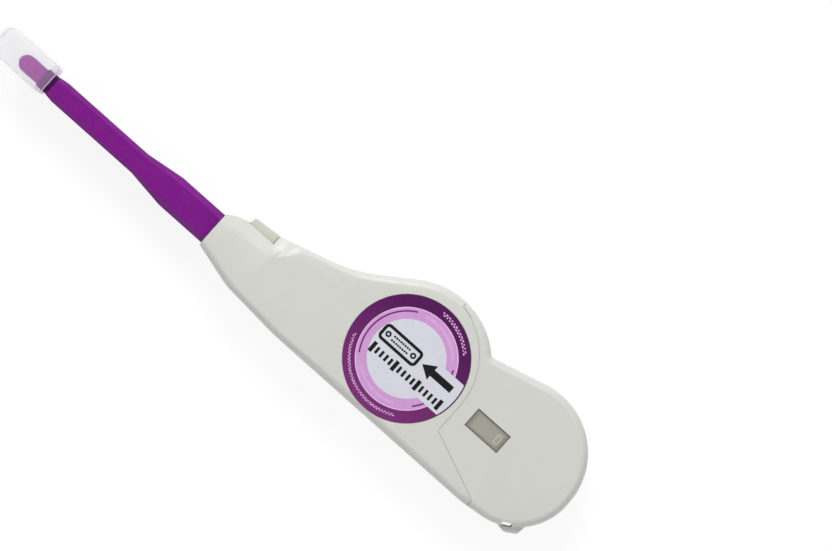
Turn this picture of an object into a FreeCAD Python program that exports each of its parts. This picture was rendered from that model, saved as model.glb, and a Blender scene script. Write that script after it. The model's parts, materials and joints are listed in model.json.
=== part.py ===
import FreeCAD, Part

import math
import os
import re

# Push-action tape cleaner for multi-fibre connectors, as a parametric document in millimetres.
#
# +X runs from the nozzle to the rounded tail, +Y towards the lock button's edge, +Z up out of
# the label face.  The cleaner lies on its flat back at Z = 0, and the origin is the point of
# that back under the middle of the round label.
#
# The housing is three mouldings round one cavity.  A carriage inside it holds both tape reels
# and the nozzle.  When the housing is pushed towards a connector, the carriage stays behind,
# and a rack moulded in the front shell turns the take-up reel by its pinion.

# Driving sizes: each is written once, here, and becomes a cell of the sheet.
SIZES = {
    # housing, seen from the label face
    "housing_depth": 18.0,
    "wall": 1.6,
    "edge_round": 3.0,
    "parting_gap": 0.12,
    "seam_gap": 0.12,
    "lobe_x": 1.2,
    "lobe_y": -0.3,
    "lobe_radius": 25.7,
    "neck_slope": 35.0,
    "neck_blend": 55.0,
    "shoulder_x": -68.4,
    "shoulder_y": -1.85,
    "shoulder_slope": 16.0,
    "waist_slope": 15.0,
    "waist_round": 2.2,
    "tail_x": 43.9,
    "tail_y": 0.0,
    "tail_radius": 23.5,
    "tail_low_radius": 20.0,
    "belly_y": -21.9,
    "belly_front": -36.0,
    "belly_rear": 42.5,
    "belly_rise": 7.0,
    "chin_x": -57.0,
    "chin_y": -20.3,
    "mouth_x": -71.6,
    "mouth_low": -16.3,
    "mouth_high": -3.7,
    # seam between the front and rear shells
    "seam_x": 22.0,
    "seam_arc": 24.2,
    "seam_top_x": 2.3,
    "seam_low_y": -10.2,
    "seam_foot_x": 44.2,
    "seam_foot_y": -19.3,
    # thumb scoop beside the lock button: its crease, and the drop for each mm across it
    "scoop_front_y": -7.2,
    "scoop_crease_y": -6.6,
    "scoop_button_y": -5.1,
    "scoop_end_y": -0.6,
    "scoop_rear_y": 2.6,
    "scoop_rear": -28.0,
    "scoop_slope": 0.65,
    "scoop_width": 14.0,
    # label and window
    "label_radius": 20.0,
    "label_depth": 0.3,
    "label_gap": 0.15,
    "window_x": 33.6,
    "window_length": 13.3,
    "window_width": 6.8,
    "window_ledge": 1.0,
    "window_inset": 0.4,
    "window_flange": 0.8,
    # lanyard eyelet on the tail
    "eyelet_x": 57.35,
    "eyelet_y": -17.8,
    "eyelet_length": 3.4,
    "eyelet_width": 1.3,
    "eyelet_angle": 29.0,
    "eyelet_inset": 3.0,
    # lock button
    "button_x": -64.2,
    "button_length": 9.5,
    "button_width": 8.8,
    "button_front_y": 1.5,
    "button_rear_y": 2.3,
    "button_low": -2.7,
    "button_round": 0.8,
    "button_sill": -1.0,
    "button_gap": 0.3,
    "button_foot": 4.2,
    "button_foot_width": 5.8,
    "button_foot_height": 2.2,
    # nozzle, its neck and the tip
    "nozzle_y": -9.9,
    "nozzle_base_width": 11.2,
    "nozzle_base_height": 14.0,
    "nozzle_chamfer": 1.9,
    "nozzle_rear": -50.0,
    "nozzle_step": -89.3,
    "neck_rear": -102.3,
    "neck_width": 7.7,
    "neck_height": 12.4,
    "neck_chamfer": 1.3,
    "neck_front": -142.6,
    "shoulder_length": 2.9,
    "shoulder_drop": 0.4,
    "seat_length": 4.2,
    "seat_width": 6.6,
    "seat_height": 11.2,
    "seat_chamfer": 0.8,
    "seat_wall": 0.7,
    "nozzle_wall": 1.0,
    "nozzle_gap": 0.3,
    "tip_front": -151.5,
    "tip_width": 5.5,
    "tip_height": 9.8,
    "tip_spigot": 6.0,
    # cleaning head
    "head_front": -152.1,
    "head_rear": -58.0,
    "head_thickness": 3.5,
    "head_nose": 2.4,
    "head_gap": 0.2,
    "head_spring_radius": 1.5,
    "head_spring_wire": 0.4,
    "head_spring_turns": 6.0,
    # guide cap
    "cap_front": -161.5,
    "cap_length": 21.8,
    "cap_wall": 0.7,
    "cap_gap": 0.2,
    "cap_rise": 1.3,
    "cap_corner": 3.0,
    "cap_lip": 1.2,
    "cap_bevel": 0.8,
    "cap_rib": 1.0,
    # tape and reels
    "tape_width": 6.4,
    "tape_thickness": 0.16,
    "take_up_x": -4.0,
    "reel_spacing": 40.0,
    "take_up_flange": 18.0,
    "supply_flange": 18.5,
    "take_up_roll": 8.0,
    "supply_roll": 16.5,
    "flange_thickness": 0.8,
    "hub_radius": 5.4,
    "hub_bore": 2.46,
    "post_radius": 2.4,
    "reel_gap": 0.3,
    "running_gap": 0.1,
    "spoke_width": 3.0,
    "ratchet_teeth": 30.0,
    "ratchet_depth": 0.6,
    # pinion and rack
    "pinion_teeth": 14.0,
    "pinion_module": 0.7,
    "pinion_backlash": 0.16,
    "pinion_height": 1.3,
    "rack_teeth": 9.0,
    "rack_back": 2.0,
    # carriage
    "rail_height": 0.4,
    "rail_width": 1.6,
    "plate_gap": 0.2,
    "plate_thickness": 1.1,
    "pad_radius": 13.0,
    "plate_hole": 3.8,
    "clip_radius": 3.6,
    "clip_thickness": 0.6,
    "pin_radius": 1.0,
    "pin_collar": 1.4,
    "pin_clearance": 0.7,
    "pawl_angle": -126.0,
    "pawl_length": 10.3,
    "pawl_width": 2.4,
    "brake_radius": 6.2,
    # springs and bosses
    "return_spring_radius": 2.1,
    "return_spring_wire": 0.6,
    "return_spring_turns": 7.0,
    "return_spring_y": 1.0,
    "return_spring_front": -42.0,
    "return_spring_rear": -24.6,
    "spring_steps": 8.0,
    "boss_hole": 1.1,
    "boss_pin_gap": 0.06,
    "leaf_thickness": 0.25,
    "leaf_rear": -47.0,
}

# Sizes worked out from the driving ones.
DERIVED = {
    "parting": "housing_depth / 2",
    "ceiling": "housing_depth - wall",
    "button_rear": "button_x + button_length",
    "mouth_opening_high": "nozzle_y + nozzle_base_width / 2 + nozzle_gap",
    "slot_half": "button_width / 2 + button_gap",
    "foot_half": "button_foot_width / 2 + 2 * button_gap",
    "seat_rear": "neck_front + seat_length",
    "shoulder_rear": "seat_rear + shoulder_length",
    "supply_x": "take_up_x + reel_spacing",
    "plate_floor": "wall + rail_height + plate_gap",
    "plate_top": "plate_floor + plate_thickness",
    "tape_floor": "parting - tape_width / 2",
    "tape_roof": "parting + tape_width / 2",
    "flange_low": "tape_floor - reel_gap - flange_thickness",
    "flange_high": "tape_roof + reel_gap",
    "reel_top": "flange_high + flange_thickness",
    "pinion_floor": "reel_top + running_gap",
    "pinion_top": "pinion_floor + pinion_height",
    "pinion_radius": "pinion_module * pinion_teeth / 2",
    "cap_low": "nozzle_y - neck_width / 2 - cap_gap - cap_wall",
    "cap_high": "nozzle_y + neck_width / 2 + cap_gap + cap_wall + cap_rise",
    "cap_floor": "parting - neck_height / 2 - cap_gap - cap_wall",
    "cap_roof": "parting + neck_height / 2 + cap_gap + cap_wall",
    "cap_mouth": "cap_front + cap_length",
    "first_pin_x": "take_up_x + reel_spacing * 0.4",
    "first_pin_y": "-(supply_roll + pin_collar + pin_clearance)",
    "second_pin_x": "take_up_x - 26",
    "third_pin_x": "nozzle_rear + 3",
    "third_pin_y": "nozzle_y - 2.2",
    "fourth_pin_x": "nozzle_rear + 6",
    "fourth_pin_y": "nozzle_y + 1.4",
    "feed_y": "nozzle_y - head_thickness / 2 - tape_thickness",
    "return_y": "nozzle_y + head_thickness / 2 + tape_thickness",
}

# How far a cutting tool reaches past what it cuts, and how far a region reaches past the housing.
OVERCUT = 1.0
BEYOND = 10.0

# Round pieces that stay hidden are many-sided rods, which keeps the model light.  Pieces that
# turn on each other have the same count, and their corners never reach the other's flats.
FINE_SIDES = 48
ROLLER_SIDES = 24
POST_SIDES = 16
BOSS_SIDES = 12

# Tangents of a rounded edge drawn as flat bands, as shares of its radius.
FIRST_BAND = 2 - math.sqrt(2)
NEXT_BANDS = math.tan(math.radians(22.5)) - math.tan(math.radians(11.25))

doc = FreeCAD.newDocument("tape_cleaner")
sheet = doc.addObject("Spreadsheet::Sheet", "sizes")
WORD = re.compile(r"[a-z][a-z_]*")
SUB_PARTS = []


def bound(expression):
    """Return an expression whose size names point at the sheet."""
    text = str(expression)
    return WORD.sub(lambda match: "sizes." + match.group(0), text)


def fill_sheet():
    """Write the driving cells as plain numbers and the derived cells as formulas."""
    row = 0
    for name, value in list(SIZES.items()) + list(DERIVED.items()):
        row += 1
        sheet.set("A" + str(row), name)
        sheet.set("B" + str(row), "=" + value if name in DERIVED else str(value))
        sheet.setAlias("B" + str(row), name)
    doc.recompute()


def size(name):
    """Return the sheet's number for one size."""
    return float(sheet.get(name))


def vector(x, y, z=0.0):
    """Return a FreeCAD vector."""
    return FreeCAD.Vector(x, y, z)


# ---------------------------------------------------------------- building blocks


def place(obj, x=None, y=None, z=None):
    """Bind the position of an object to expressions of the sheet."""
    for axis, expression in zip("xyz", (x, y, z)):
        if expression is not None:
            obj.setExpression("Placement.Base." + axis, bound(expression))
    return obj


def box(name, low, high):
    """Return a block between two corners given as expressions."""
    obj = doc.addObject("Part::Box", name)
    for side, lower, upper in zip(("Length", "Width", "Height"), low, high):
        obj.setExpression(side, bound("(" + str(upper) + ") - (" + str(lower) + ")"))
    return place(obj, *low)


def cylinder(name, radius, x, y, low, high):
    """Return an upright cylinder between two heights."""
    obj = doc.addObject("Part::Cylinder", name)
    obj.setExpression("Radius", bound(radius))
    obj.setExpression("Height", bound("(" + str(high) + ") - (" + str(low) + ")"))
    return place(obj, x, y, low)


def rod(name, sides, radius, x, y, low, high):
    """Return an upright many-sided rod between two heights."""
    obj = doc.addObject("Part::Prism", name)
    obj.Polygon = sides
    obj.setExpression("Circumradius", bound(radius))
    obj.setExpression("Height", bound("(" + str(high) + ") - (" + str(low) + ")"))
    return place(obj, x, y, low)


def fuse(name, *shapes):
    """Return the union of several objects."""
    obj = doc.addObject("Part::MultiFuse", name)
    obj.Shapes = list(shapes)
    return obj


def cut(name, base, *tools):
    """Return an object less one or more tools."""
    obj = doc.addObject("Part::Cut", name)
    obj.Base = base
    obj.Tool = tools[0] if len(tools) == 1 else fuse(name + "_tools", *tools)
    return obj


def common(name, base, tool):
    """Return what two objects share."""
    obj = doc.addObject("Part::Common", name)
    obj.Base = base
    obj.Tool = tool
    return obj


def rounded_path(corners):
    """Return the lines and tangent arcs of a closed outline of (x, y, radius) corners."""
    bends = []
    count = len(corners)
    for index, (x, y, radius) in enumerate(corners):
        corner = vector(x, y)
        back = vector(*corners[index - 1][:2]).sub(corner).normalize()
        ahead = vector(*corners[(index + 1) % count][:2]).sub(corner).normalize()
        half = back.getAngle(ahead) / 2
        reach = radius / math.tan(half)
        middle = back.add(ahead)
        if radius and middle.Length > 1e-9:
            middle.normalize()
            crown = corner.add(middle * (radius / math.sin(half) - radius))
            bends.append((corner.add(back * reach), crown, corner.add(ahead * reach)))
        else:
            bends.append((corner, None, corner))
    pieces = []
    for index, (start, crown, end) in enumerate(bends):
        if crown is not None:
            pieces.append(Part.Arc(start, crown, end))
        following = bends[(index + 1) % count][0]
        if following.sub(end).Length > 1e-5:
            pieces.append(Part.LineSegment(end, following))
    return pieces


def sketch(name, pieces, z=None):
    """Return a sketch of ready geometry at a height bound to the sheet."""
    obj = doc.addObject("Sketcher::SketchObject", name)
    obj.addGeometry(pieces, False)
    return place(obj, z=z)


def extrude(name, profile, length):
    """Return a solid pushed out of a sketch along its normal."""
    obj = doc.addObject("Part::Extrusion", name)
    obj.Base = profile
    obj.DirMode = "Normal"
    obj.Solid = True
    obj.setExpression("LengthFwd", bound(length))
    return obj


def prism(name, corners, low, high):
    """Return an upright prism of a rounded outline between two heights."""
    profile = sketch(name + "_sketch", rounded_path(corners), low)
    return extrude(name, profile, "(" + str(high) + ") - (" + str(low) + ")")


def cross_section(name, x, width, height, chamfer):
    """Return a chamfered rectangle square to X, centred on the nozzle's axis."""
    half_width = width / 2
    half_height = height / 2
    corners = []
    for side_y, side_z in ((1, 1), (-1, 1), (-1, -1), (1, -1)):
        steps = ((half_width, half_height - chamfer), (half_width - chamfer, half_height))
        if side_y != side_z:
            steps = steps[::-1]
        for step_y, step_z in steps:
            corners.append((side_y * step_y, side_z * step_z, 0))
    obj = sketch(name, rounded_path(corners))
    obj.Placement.Rotation = FreeCAD.Rotation(vector(1, 1, 1), 120)
    return place(obj, x, "nozzle_y", "parting")


def loft(name, *sections):
    """Return a straight-sided solid through several sections."""
    obj = doc.addObject("Part::Loft", name)
    obj.Sections = list(sections)
    obj.Solid = True
    obj.Ruled = True
    return obj


def bevel(name, base, depth, wanted):
    """Return a copy of a solid with the wanted edges bevelled."""
    doc.recompute()
    obj = doc.addObject("Part::Chamfer", name)
    obj.Base = base
    numbers = [index for index, edge in enumerate(base.Shape.Edges, 1) if wanted(edge)]
    obj.Edges = [(number, depth, depth) for number in numbers]
    return obj


def coil(name, x_low, x_high, y, radius, wire, turns):
    """Return a coil spring along X at mid depth, wound in straight runs of six-sided wire."""
    low = x_low + wire / 2
    high = x_high - wire / 2
    steps = int(size("spring_steps"))
    runs = int(round(turns * steps))
    points = []
    for number in range(runs + 1):
        turn = 2 * math.pi * number / steps
        points.append(vector(low + (high - low) * number / runs, y + radius * math.cos(turn),
                             size("parting") + radius * math.sin(turn)))
    line = doc.addObject("Part::Feature", name + "_line")
    line.Shape = Part.makePolygon(points)
    section = doc.addObject("Part::RegularPolygon", name + "_section")
    section.Polygon = 6
    section.Circumradius = wire / 2
    heading = points[1].sub(points[0])
    section.Placement = FreeCAD.Placement(points[0], FreeCAD.Rotation(vector(0, 0, 1), heading))
    obj = doc.addObject("Part::Sweep", name)
    obj.Sections = [section]
    obj.Spine = (line, ["Edge" + str(number + 1) for number in range(runs)])
    obj.Solid = True
    obj.Frenet = False
    obj.Transition = "Right corner"
    return obj


def sub_part(obj, label):
    """Name a finished object as one piece of the cleaner."""
    obj.Label = label
    SUB_PARTS.append(obj)
    return obj


# ---------------------------------------------------------------- outlines


def meet(point_a, angle_a, point_b, angle_b):
    """Return where two lines cross, each given by a point and its slope in degrees."""
    ax, ay = math.cos(math.radians(angle_a)), math.sin(math.radians(angle_a))
    bx, by = math.cos(math.radians(angle_b)), math.sin(math.radians(angle_b))
    dx, dy = point_b[0] - point_a[0], point_b[1] - point_a[1]
    along = (dx * by - dy * bx) / (ax * by - ay * bx)
    return point_a[0] + along * ax, point_a[1] + along * ay


def on_circle(centre, radius, angle):
    """Return the point of a circle at an angle in degrees."""
    turn = math.radians(angle)
    return centre[0] + radius * math.cos(turn), centre[1] + radius * math.sin(turn)


def tangent_corner(centre, radius, angle_a, angle_b):
    """Return where the tangents at two angles of a circle cross."""
    half = math.radians(angle_b - angle_a) / 2
    return on_circle(centre, radius / math.cos(half), (angle_a + angle_b) / 2)


def moved_outline(corners, distance):
    """Return an outline moved outwards by a distance, or inwards by a negative one."""
    count = len(corners)
    edges = []
    area = 0.0
    for index, (x, y, _) in enumerate(corners):
        next_x, next_y, _ = corners[(index + 1) % count]
        area += x * next_y - next_x * y
        edges.append((x, y, math.degrees(math.atan2(next_y - y, next_x - x))))
    side = 1 if area > 0 else -1
    moved = []
    for index, (x, y, radius) in enumerate(corners):
        lines = []
        for start_x, start_y, angle in (edges[index - 1], edges[index]):
            turn = math.radians(angle)
            lines.append(((start_x + side * distance * math.sin(turn),
                           start_y - side * distance * math.cos(turn)), angle))
        bend = math.sin(math.radians(lines[1][1] - lines[0][1])) * side
        point = meet(*lines[0], *lines[1])
        growth = distance if bend > 0 else -distance
        moved.append((*point, max(radius + growth, 0) if radius else 0))
    return moved


def brow_above_waist(lobe, lobe_radius, line_point, slope):
    """Return the angle from the waist's slope to where its round touches the lobe."""
    turn = math.radians(slope)
    height = (line_point[1] - lobe[1]) * math.cos(turn) - (line_point[0] - lobe[0]) * math.sin(turn)
    waist_round = size("waist_round")
    return math.degrees(math.asin((height + waist_round) / (lobe_radius + waist_round)))


def housing_corners():
    """Return the corners of the housing's outline, clockwise from the mouth."""
    lobe = (size("lobe_x"), size("lobe_y"))
    lobe_radius = size("lobe_radius")
    tail = (size("tail_x"), size("tail_y"))
    tail_radius = size("tail_radius")
    neck_angle = 90 + size("neck_slope")
    waist_angle = 90 + size("waist_slope")
    shoulder = (size("shoulder_x"), size("shoulder_y"))
    neck = meet(shoulder, size("shoulder_slope"),
                on_circle(lobe, lobe_radius, neck_angle), size("neck_slope"))
    crown = tangent_corner(lobe, lobe_radius, neck_angle, 90)
    waist_line = on_circle(tail, tail_radius, waist_angle)
    waist_slope = size("waist_slope")
    brow_angle = waist_slope + brow_above_waist(lobe, lobe_radius, waist_line, waist_slope)
    brow = tangent_corner(lobe, lobe_radius, 90, brow_angle)
    waist = meet(on_circle(lobe, lobe_radius, brow_angle), brow_angle - 90,
                 waist_line, waist_slope)
    tail_top = tangent_corner(tail, tail_radius, waist_angle, 0)
    belly_rear = (size("belly_rear"), size("belly_y"))
    tail_low = meet(belly_rear, size("belly_rise"), (tail[0] + tail_radius, 0), 90)
    return [
        (size("mouth_x"), size("mouth_high"), 0),
        (*shoulder, 8.0),
        (*neck, size("neck_blend")),
        (*crown, lobe_radius),
        (*brow, lobe_radius),
        (*waist, size("waist_round")),
        (*tail_top, tail_radius),
        (*tail_low, size("tail_low_radius")),
        (*belly_rear, 30.0),
        (size("belly_front"), size("belly_y"), 80.0),
        (size("chin_x"), size("chin_y"), 25.0),
        (size("mouth_x"), size("mouth_low"), 0),
    ]


def front_region_corners():
    """Return an outline that holds all of the housing in front of the seam."""
    centre = (size("seam_x") - size("seam_arc"), 0)
    radius = size("seam_arc")
    hook = math.degrees(math.acos((size("seam_top_x") - centre[0]) / radius))
    far_left = size("mouth_x") - BEYOND
    far_up = size("lobe_radius") + BEYOND
    return [
        (size("seam_top_x"), far_up, 0),
        (*on_circle(centre, radius, hook), 0),
        (*tangent_corner(centre, radius, hook, hook / 2), radius),
        (*tangent_corner(centre, radius, hook / 2, 0), radius),
        (size("seam_x"), size("seam_low_y"), 1.2),
        (size("seam_foot_x"), size("seam_foot_y"), 1.2),
        (size("seam_foot_x"), -far_up, 0),
        (far_left, -far_up, 0),
        (far_left, far_up, 0),
    ]


def stadium(x, y, length, width, angle):
    """Return the corners of a round-ended slot."""
    turn = math.radians(angle)
    along = (math.cos(turn), math.sin(turn))
    corners = []
    radius = width / 2 * 0.999
    for u, v in ((1, 1), (1, -1), (-1, -1), (-1, 1)):
        du, dv = u * length / 2, v * width / 2
        corners.append((x + du * along[0] - dv * along[1], y + du * along[1] + dv * along[0], radius))
    return corners


def pinion_outline():
    """Return the straight-edged outline of the pinion, one tooth pointing at the rack."""
    module = size("pinion_module")
    teeth = int(size("pinion_teeth"))
    pitch = module * teeth / 2
    base = pitch * math.cos(math.radians(20))
    tip = pitch + module
    root = pitch - 1.25 * module
    half_pitch = (math.pi * module / 2 - size("pinion_backlash")) / 2 / pitch
    lead = math.tan(math.radians(20)) - math.radians(20)
    flank = []
    for radius in (base, pitch, tip):
        pressure = math.acos(min(1.0, base / radius))
        flank.append((radius, half_pitch + lead - (math.tan(pressure) - pressure)))
    flank.insert(0, (root, flank[0][1] + 0.04))
    points = []
    for tooth in range(teeth):
        middle = math.pi / 2 - 2 * math.pi * tooth / teeth
        for radius, half in flank:
            points.append(on_circle((0, 0), radius, math.degrees(middle + half)))
        for radius, half in reversed(flank):
            points.append(on_circle((0, 0), radius, math.degrees(middle - half)))
    return [(x, y, 0) for x, y in points]


def rack_outline():
    """Return the rack's outline, with a gap centred on the pinion's tooth at rest."""
    module = size("pinion_module")
    pitch = math.pi * module
    count = int(size("rack_teeth"))
    line = size("pinion_radius")
    slope = math.tan(math.radians(20))
    half = (pitch / 2 - size("pinion_backlash")) / 2
    root_y = line + 1.35 * module
    tip_y = line - module
    start = size("take_up_x") - 2 * pitch
    points = [(start - pitch / 2, root_y + size("rack_back"), 0), (start - pitch / 2, root_y, 0)]
    for tooth in range(count):
        middle = start + (tooth + 0.5) * pitch
        root_half = half + (root_y - line) * slope
        tip_half = half - (line - tip_y) * slope
        points.append((middle - root_half, root_y, 0))
        points.append((middle - tip_half, tip_y, 0))
        points.append((middle + tip_half, tip_y, 0))
        points.append((middle + root_half, root_y, 0))
    end = start + (count + 0.5) * pitch
    points.append((end, root_y, 0))
    points.append((end, root_y + size("rack_back"), 0))
    return points


def ratchet_outline(radius):
    """Return the saw-toothed rim of the take-up reel's lower flange."""
    teeth = int(size("ratchet_teeth"))
    step = 360.0 / teeth
    points = []
    for tooth in range(teeth):
        points.append((*on_circle((0, 0), radius - size("ratchet_depth"), -tooth * step), 0))
        points.append((*on_circle((0, 0), radius, -(tooth + 0.85) * step), 0))
    return points


def ribbon(name, centre_line):
    """Return a thin upright band of tape along a line of points."""
    half = size("tape_thickness") / 2
    left = []
    right = []
    count = len(centre_line)
    for index, (x, y) in enumerate(centre_line):
        before = vector(*centre_line[max(index - 1, 0)])
        after = vector(*centre_line[min(index + 1, count - 1)])
        along = after.sub(before).normalize()
        left.append((x - along.y * half, y + along.x * half, 0))
        right.append((x + along.y * half, y - along.x * half, 0))
    return prism(name, left + right[::-1], "tape_floor", "tape_roof")


# ---------------------------------------------------------------- housing

BOSSES = {
    "front": [(-55.0, -17.35, 1.3), (-25.0, 8.2, 2.0)],
    "rear": [(20.0, 15.0, 2.0), (60.3, -14.1, 1.8)],
}


def build_blanks():
    """Return the outline, the two rounded halves and the cavity they share."""
    outline = sketch("housing_outline", rounded_path(housing_corners()))
    lower = extrude("lower_blank", outline, "parting - parting_gap")
    upper = place(extrude("upper_blank", outline, "parting"), z="parting")
    depth = size("housing_depth")
    mouth = size("mouth_x")

    def rim(height):
        return lambda edge: abs(edge.BoundBox.ZMin - height) < 1e-4 \
            and abs(edge.BoundBox.ZMax - height) < 1e-4 and edge.BoundBox.XMax > mouth + 0.1

    radius = size("edge_round")
    first = radius * FIRST_BAND
    lower = bevel("lower_bevelled", lower, first, rim(0.0))
    upper = bevel("upper_bevelled", upper, first, rim(depth))
    upper = bevel("upper_crest", upper, radius * NEXT_BANDS, rim(depth))
    upper = bevel("upper_rounded", upper, radius * NEXT_BANDS, rim(depth - first))
    room = prism("room", moved_outline(housing_corners(), -size("wall")), "wall", "ceiling")
    nose_end = "button_rear + button_foot + 1"
    nose_low = box("nose_fill_low", ("mouth_x", "mouth_opening_high", "0"),
                   (nose_end, "shoulder_y + 12", "parting - foot_half"))
    nose_high = box("nose_fill_high", ("mouth_x", "mouth_opening_high", "parting + foot_half"),
                    (nose_end, "shoulder_y + 12", "housing_depth"))
    cavity = cut("cavity", room, nose_low, nose_high)
    return lower, upper, cavity


def mouth_opening():
    """Return the chamfered passage that the nozzle slides through."""
    gap = size("nozzle_gap")
    width = size("nozzle_base_width") + 2 * gap
    height = size("nozzle_base_height") + 2 * gap
    section = cross_section("mouth_section", "mouth_x - 1", width, height, size("nozzle_chamfer"))
    return extrude("mouth_passage", section, "nozzle_rear - mouth_x + 2")


def button_slot():
    """Return the slot in the +Y wall that the lock button stands in."""
    return box("button_slot", ("button_x - button_gap", "mouth_opening_high", "parting - slot_half"),
               ("button_rear + button_gap", "lobe_radius", "parting + slot_half"))


def button_opening():
    """Return what is cut from the label face so that the button shows beside the scoop."""
    return box("button_opening", ("button_x - button_gap", "button_sill", "parting"),
               ("button_rear + button_gap", "lobe_radius", "housing_depth + 1"))


def thumb_scoop():
    """Return the wedge that slopes the label face down to the lock button."""
    width = size("scoop_width")
    slope = size("scoop_slope")
    button_x = size("button_x")
    button_rear = size("button_rear")
    scoop_rear = size("scoop_rear")
    end_y = size("scoop_end_y")
    rear_y = size("scoop_rear_y")
    after = scoop_rear - button_rear
    stations = (
        (size("mouth_x") - OVERCUT, size("scoop_front_y"), slope),
        (button_x, size("scoop_crease_y"), slope),
        (button_rear + after * 0.045, size("scoop_button_y"), slope),
        (button_rear + after * 0.13, size("scoop_button_y") + 1.1, slope * 0.95),
        (button_rear + after * 0.21, end_y, slope * 0.7),
        (button_rear + after * 0.31, end_y + (rear_y - end_y) * 0.55, slope * 0.3),
        (button_rear + after * 0.55, end_y + (rear_y - end_y) * 0.65, slope * 0.2),
        (scoop_rear, rear_y, slope * 0.03),
    )
    sections = []
    for number, (x, y, fall) in enumerate(stations):
        corners = [(0, OVERCUT, 0), (0, 0, 0), (width, -fall * width, 0), (width, OVERCUT, 0)]
        section = sketch("scoop_section_" + str(number), rounded_path(corners))
        section.Placement = FreeCAD.Placement(vector(x, y, size("housing_depth")),
                                              FreeCAD.Rotation(vector(1, 1, 1), 120))
        sections.append(section)
    return loft("thumb_scoop", *sections)


def eyelet_tools(cavity):
    """Return the eyelet's lug for each half and the slot through both."""
    x, y = size("eyelet_x"), size("eyelet_y")
    lug = [(x - 2.6, y - 1.9, 1.0), (x + 0.9, y - 2.3, 1.4), (x + 4.4, y - 0.2, 1.8),
           (x + 4.9, y + 3.6, 0.6), (x - 2.0, y + 3.6, 0.4)]
    low = prism("eyelet_lug_low", lug, "eyelet_inset", "parting - parting_gap")
    high = prism("eyelet_lug_high", lug, "parting", "housing_depth - eyelet_inset")
    low = cut("eyelet_lug_low_trimmed", low, cavity)
    high = cut("eyelet_lug_high_trimmed", high, cavity)
    corners = stadium(x, y, size("eyelet_length"), size("eyelet_width"), size("eyelet_angle"))
    slot = prism("eyelet_slot", corners, "-1", "housing_depth + 1")
    return low, high, slot


def sockets(places, name):
    """Return the lower half's bosses and the holes bored in them."""
    posts = []
    holes = []
    for number, (x, y, radius) in enumerate(places):
        tag = name + "_socket_" + str(number)
        posts.append(rod(tag + "_post", BOSS_SIDES, radius, x, y, "wall - 0.2",
                         "parting - parting_gap"))
        holes.append(rod(tag + "_hole", BOSS_SIDES, "boss_hole * " + str(radius / 2), x, y,
                         "parting - 4.5", "parting + 1"))
    return posts, holes


def plug_posts(places, name):
    """Return the upper half's bosses with the pins that enter the sockets."""
    posts = []
    for number, (x, y, radius) in enumerate(places):
        tag = name + "_plug_" + str(number)
        post = rod(tag + "_post", BOSS_SIDES, radius, x, y, "parting", "ceiling + 0.2")
        pin = rod(tag + "_pin", BOSS_SIDES, "boss_hole * " + str(radius / 2) + " - boss_pin_gap",
                  x, y, "parting - 4", "parting + 0.5")
        posts.append(fuse(tag, post, pin))
    return posts


def build_housing():
    """Build the base, front and rear shells with the label and the window."""
    lower, upper, cavity = build_blanks()
    passage = mouth_opening()
    slot = button_slot()
    lug_low, lug_high, eyelet = eyelet_tools(cavity)
    lower_shell = cut("lower_shell", lower, cavity)
    rails = []
    for number, y in enumerate(("-0.95 * pad_radius", "0.45 * pad_radius")):
        rails.append(box("rail_" + str(number), ("take_up_x - 10", y, "wall - 0.2"),
                         ("supply_x + 8", y + " + rail_width", "wall + rail_height")))
    spring_wall = box("spring_wall", ("return_spring_rear", "return_spring_y - 3", "wall - 0.2"),
                      ("return_spring_rear + 1.2", "return_spring_y + 4", "parting + 3"))
    leaf_post = box("leaf_post", ("leaf_rear", "button_low - 1", "wall - 0.2"),
                    ("leaf_rear + 1.6", "button_low + 1.3", "parting + 2"))
    front_posts, front_holes = sockets(BOSSES["front"], "front")
    rear_posts, rear_holes = sockets(BOSSES["rear"], "rear")
    body = fuse("base_body", lower_shell, lug_low, *rails, spring_wall, leaf_post,
                *front_posts, *rear_posts)
    base = cut("base_shell_solid", body, passage, slot, eyelet, *front_holes, *rear_holes)
    sub_part(base, "base_shell")

    region = front_region_corners()
    front_region = prism("front_region", region, "-1", "housing_depth + 1")
    rear_limit = prism("rear_limit", moved_outline(region, size("seam_gap")),
                       "-1", "housing_depth + 1")
    upper_shell = cut("upper_shell", upper, cavity)

    front_skin = common("front_skin", upper_shell, front_region)
    rack = prism("rack", rack_outline(), "pinion_floor + 0.1", "ceiling + 0.2")
    front_body = fuse("front_body", front_skin, rack, *plug_posts(BOSSES["front"], "front"))
    recess = cylinder("label_recess", "label_radius + label_gap", 0, 0,
                      "housing_depth - label_depth", "housing_depth + 1")
    front = cut("front_shell_solid", front_body, passage, slot, button_opening(), recess,
                thumb_scoop())
    sub_part(front, "front_shell")

    rear_skin = cut("rear_skin", upper_shell, rear_limit)
    rear_body = fuse("rear_body", rear_skin, lug_high, *plug_posts(BOSSES["rear"], "rear"))
    half_length = "window_length / 2"
    half_width = "window_width / 2"
    pane_hole = box("window_hole",
                    ("window_x - " + half_length, "-" + half_width, "ceiling - 1"),
                    ("window_x + " + half_length, half_width, "housing_depth + 1"))
    sub_part(cut("rear_shell_solid", rear_body, pane_hole, eyelet), "rear_shell")

    pane = box("window_pane",
               ("window_x - " + half_length + " + 0.05", "-" + half_width + " + 0.05", "ceiling"),
               ("window_x + " + half_length + " - 0.05", half_width + " - 0.05",
                "housing_depth - window_inset"))
    flange = box("window_flange_plate",
                 ("window_x - " + half_length + " - window_ledge",
                  "-" + half_width + " - window_ledge", "ceiling - window_flange"),
                 ("window_x + " + half_length + " + window_ledge",
                  half_width + " + window_ledge", "ceiling"))
    sub_part(fuse("tape_window_solid", pane, flange), "tape_window")
    disc = cylinder("label_solid", "label_radius", 0, 0,
                    "housing_depth - label_depth", "housing_depth - 0.05")
    sub_part(disc, "label_disc")


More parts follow.
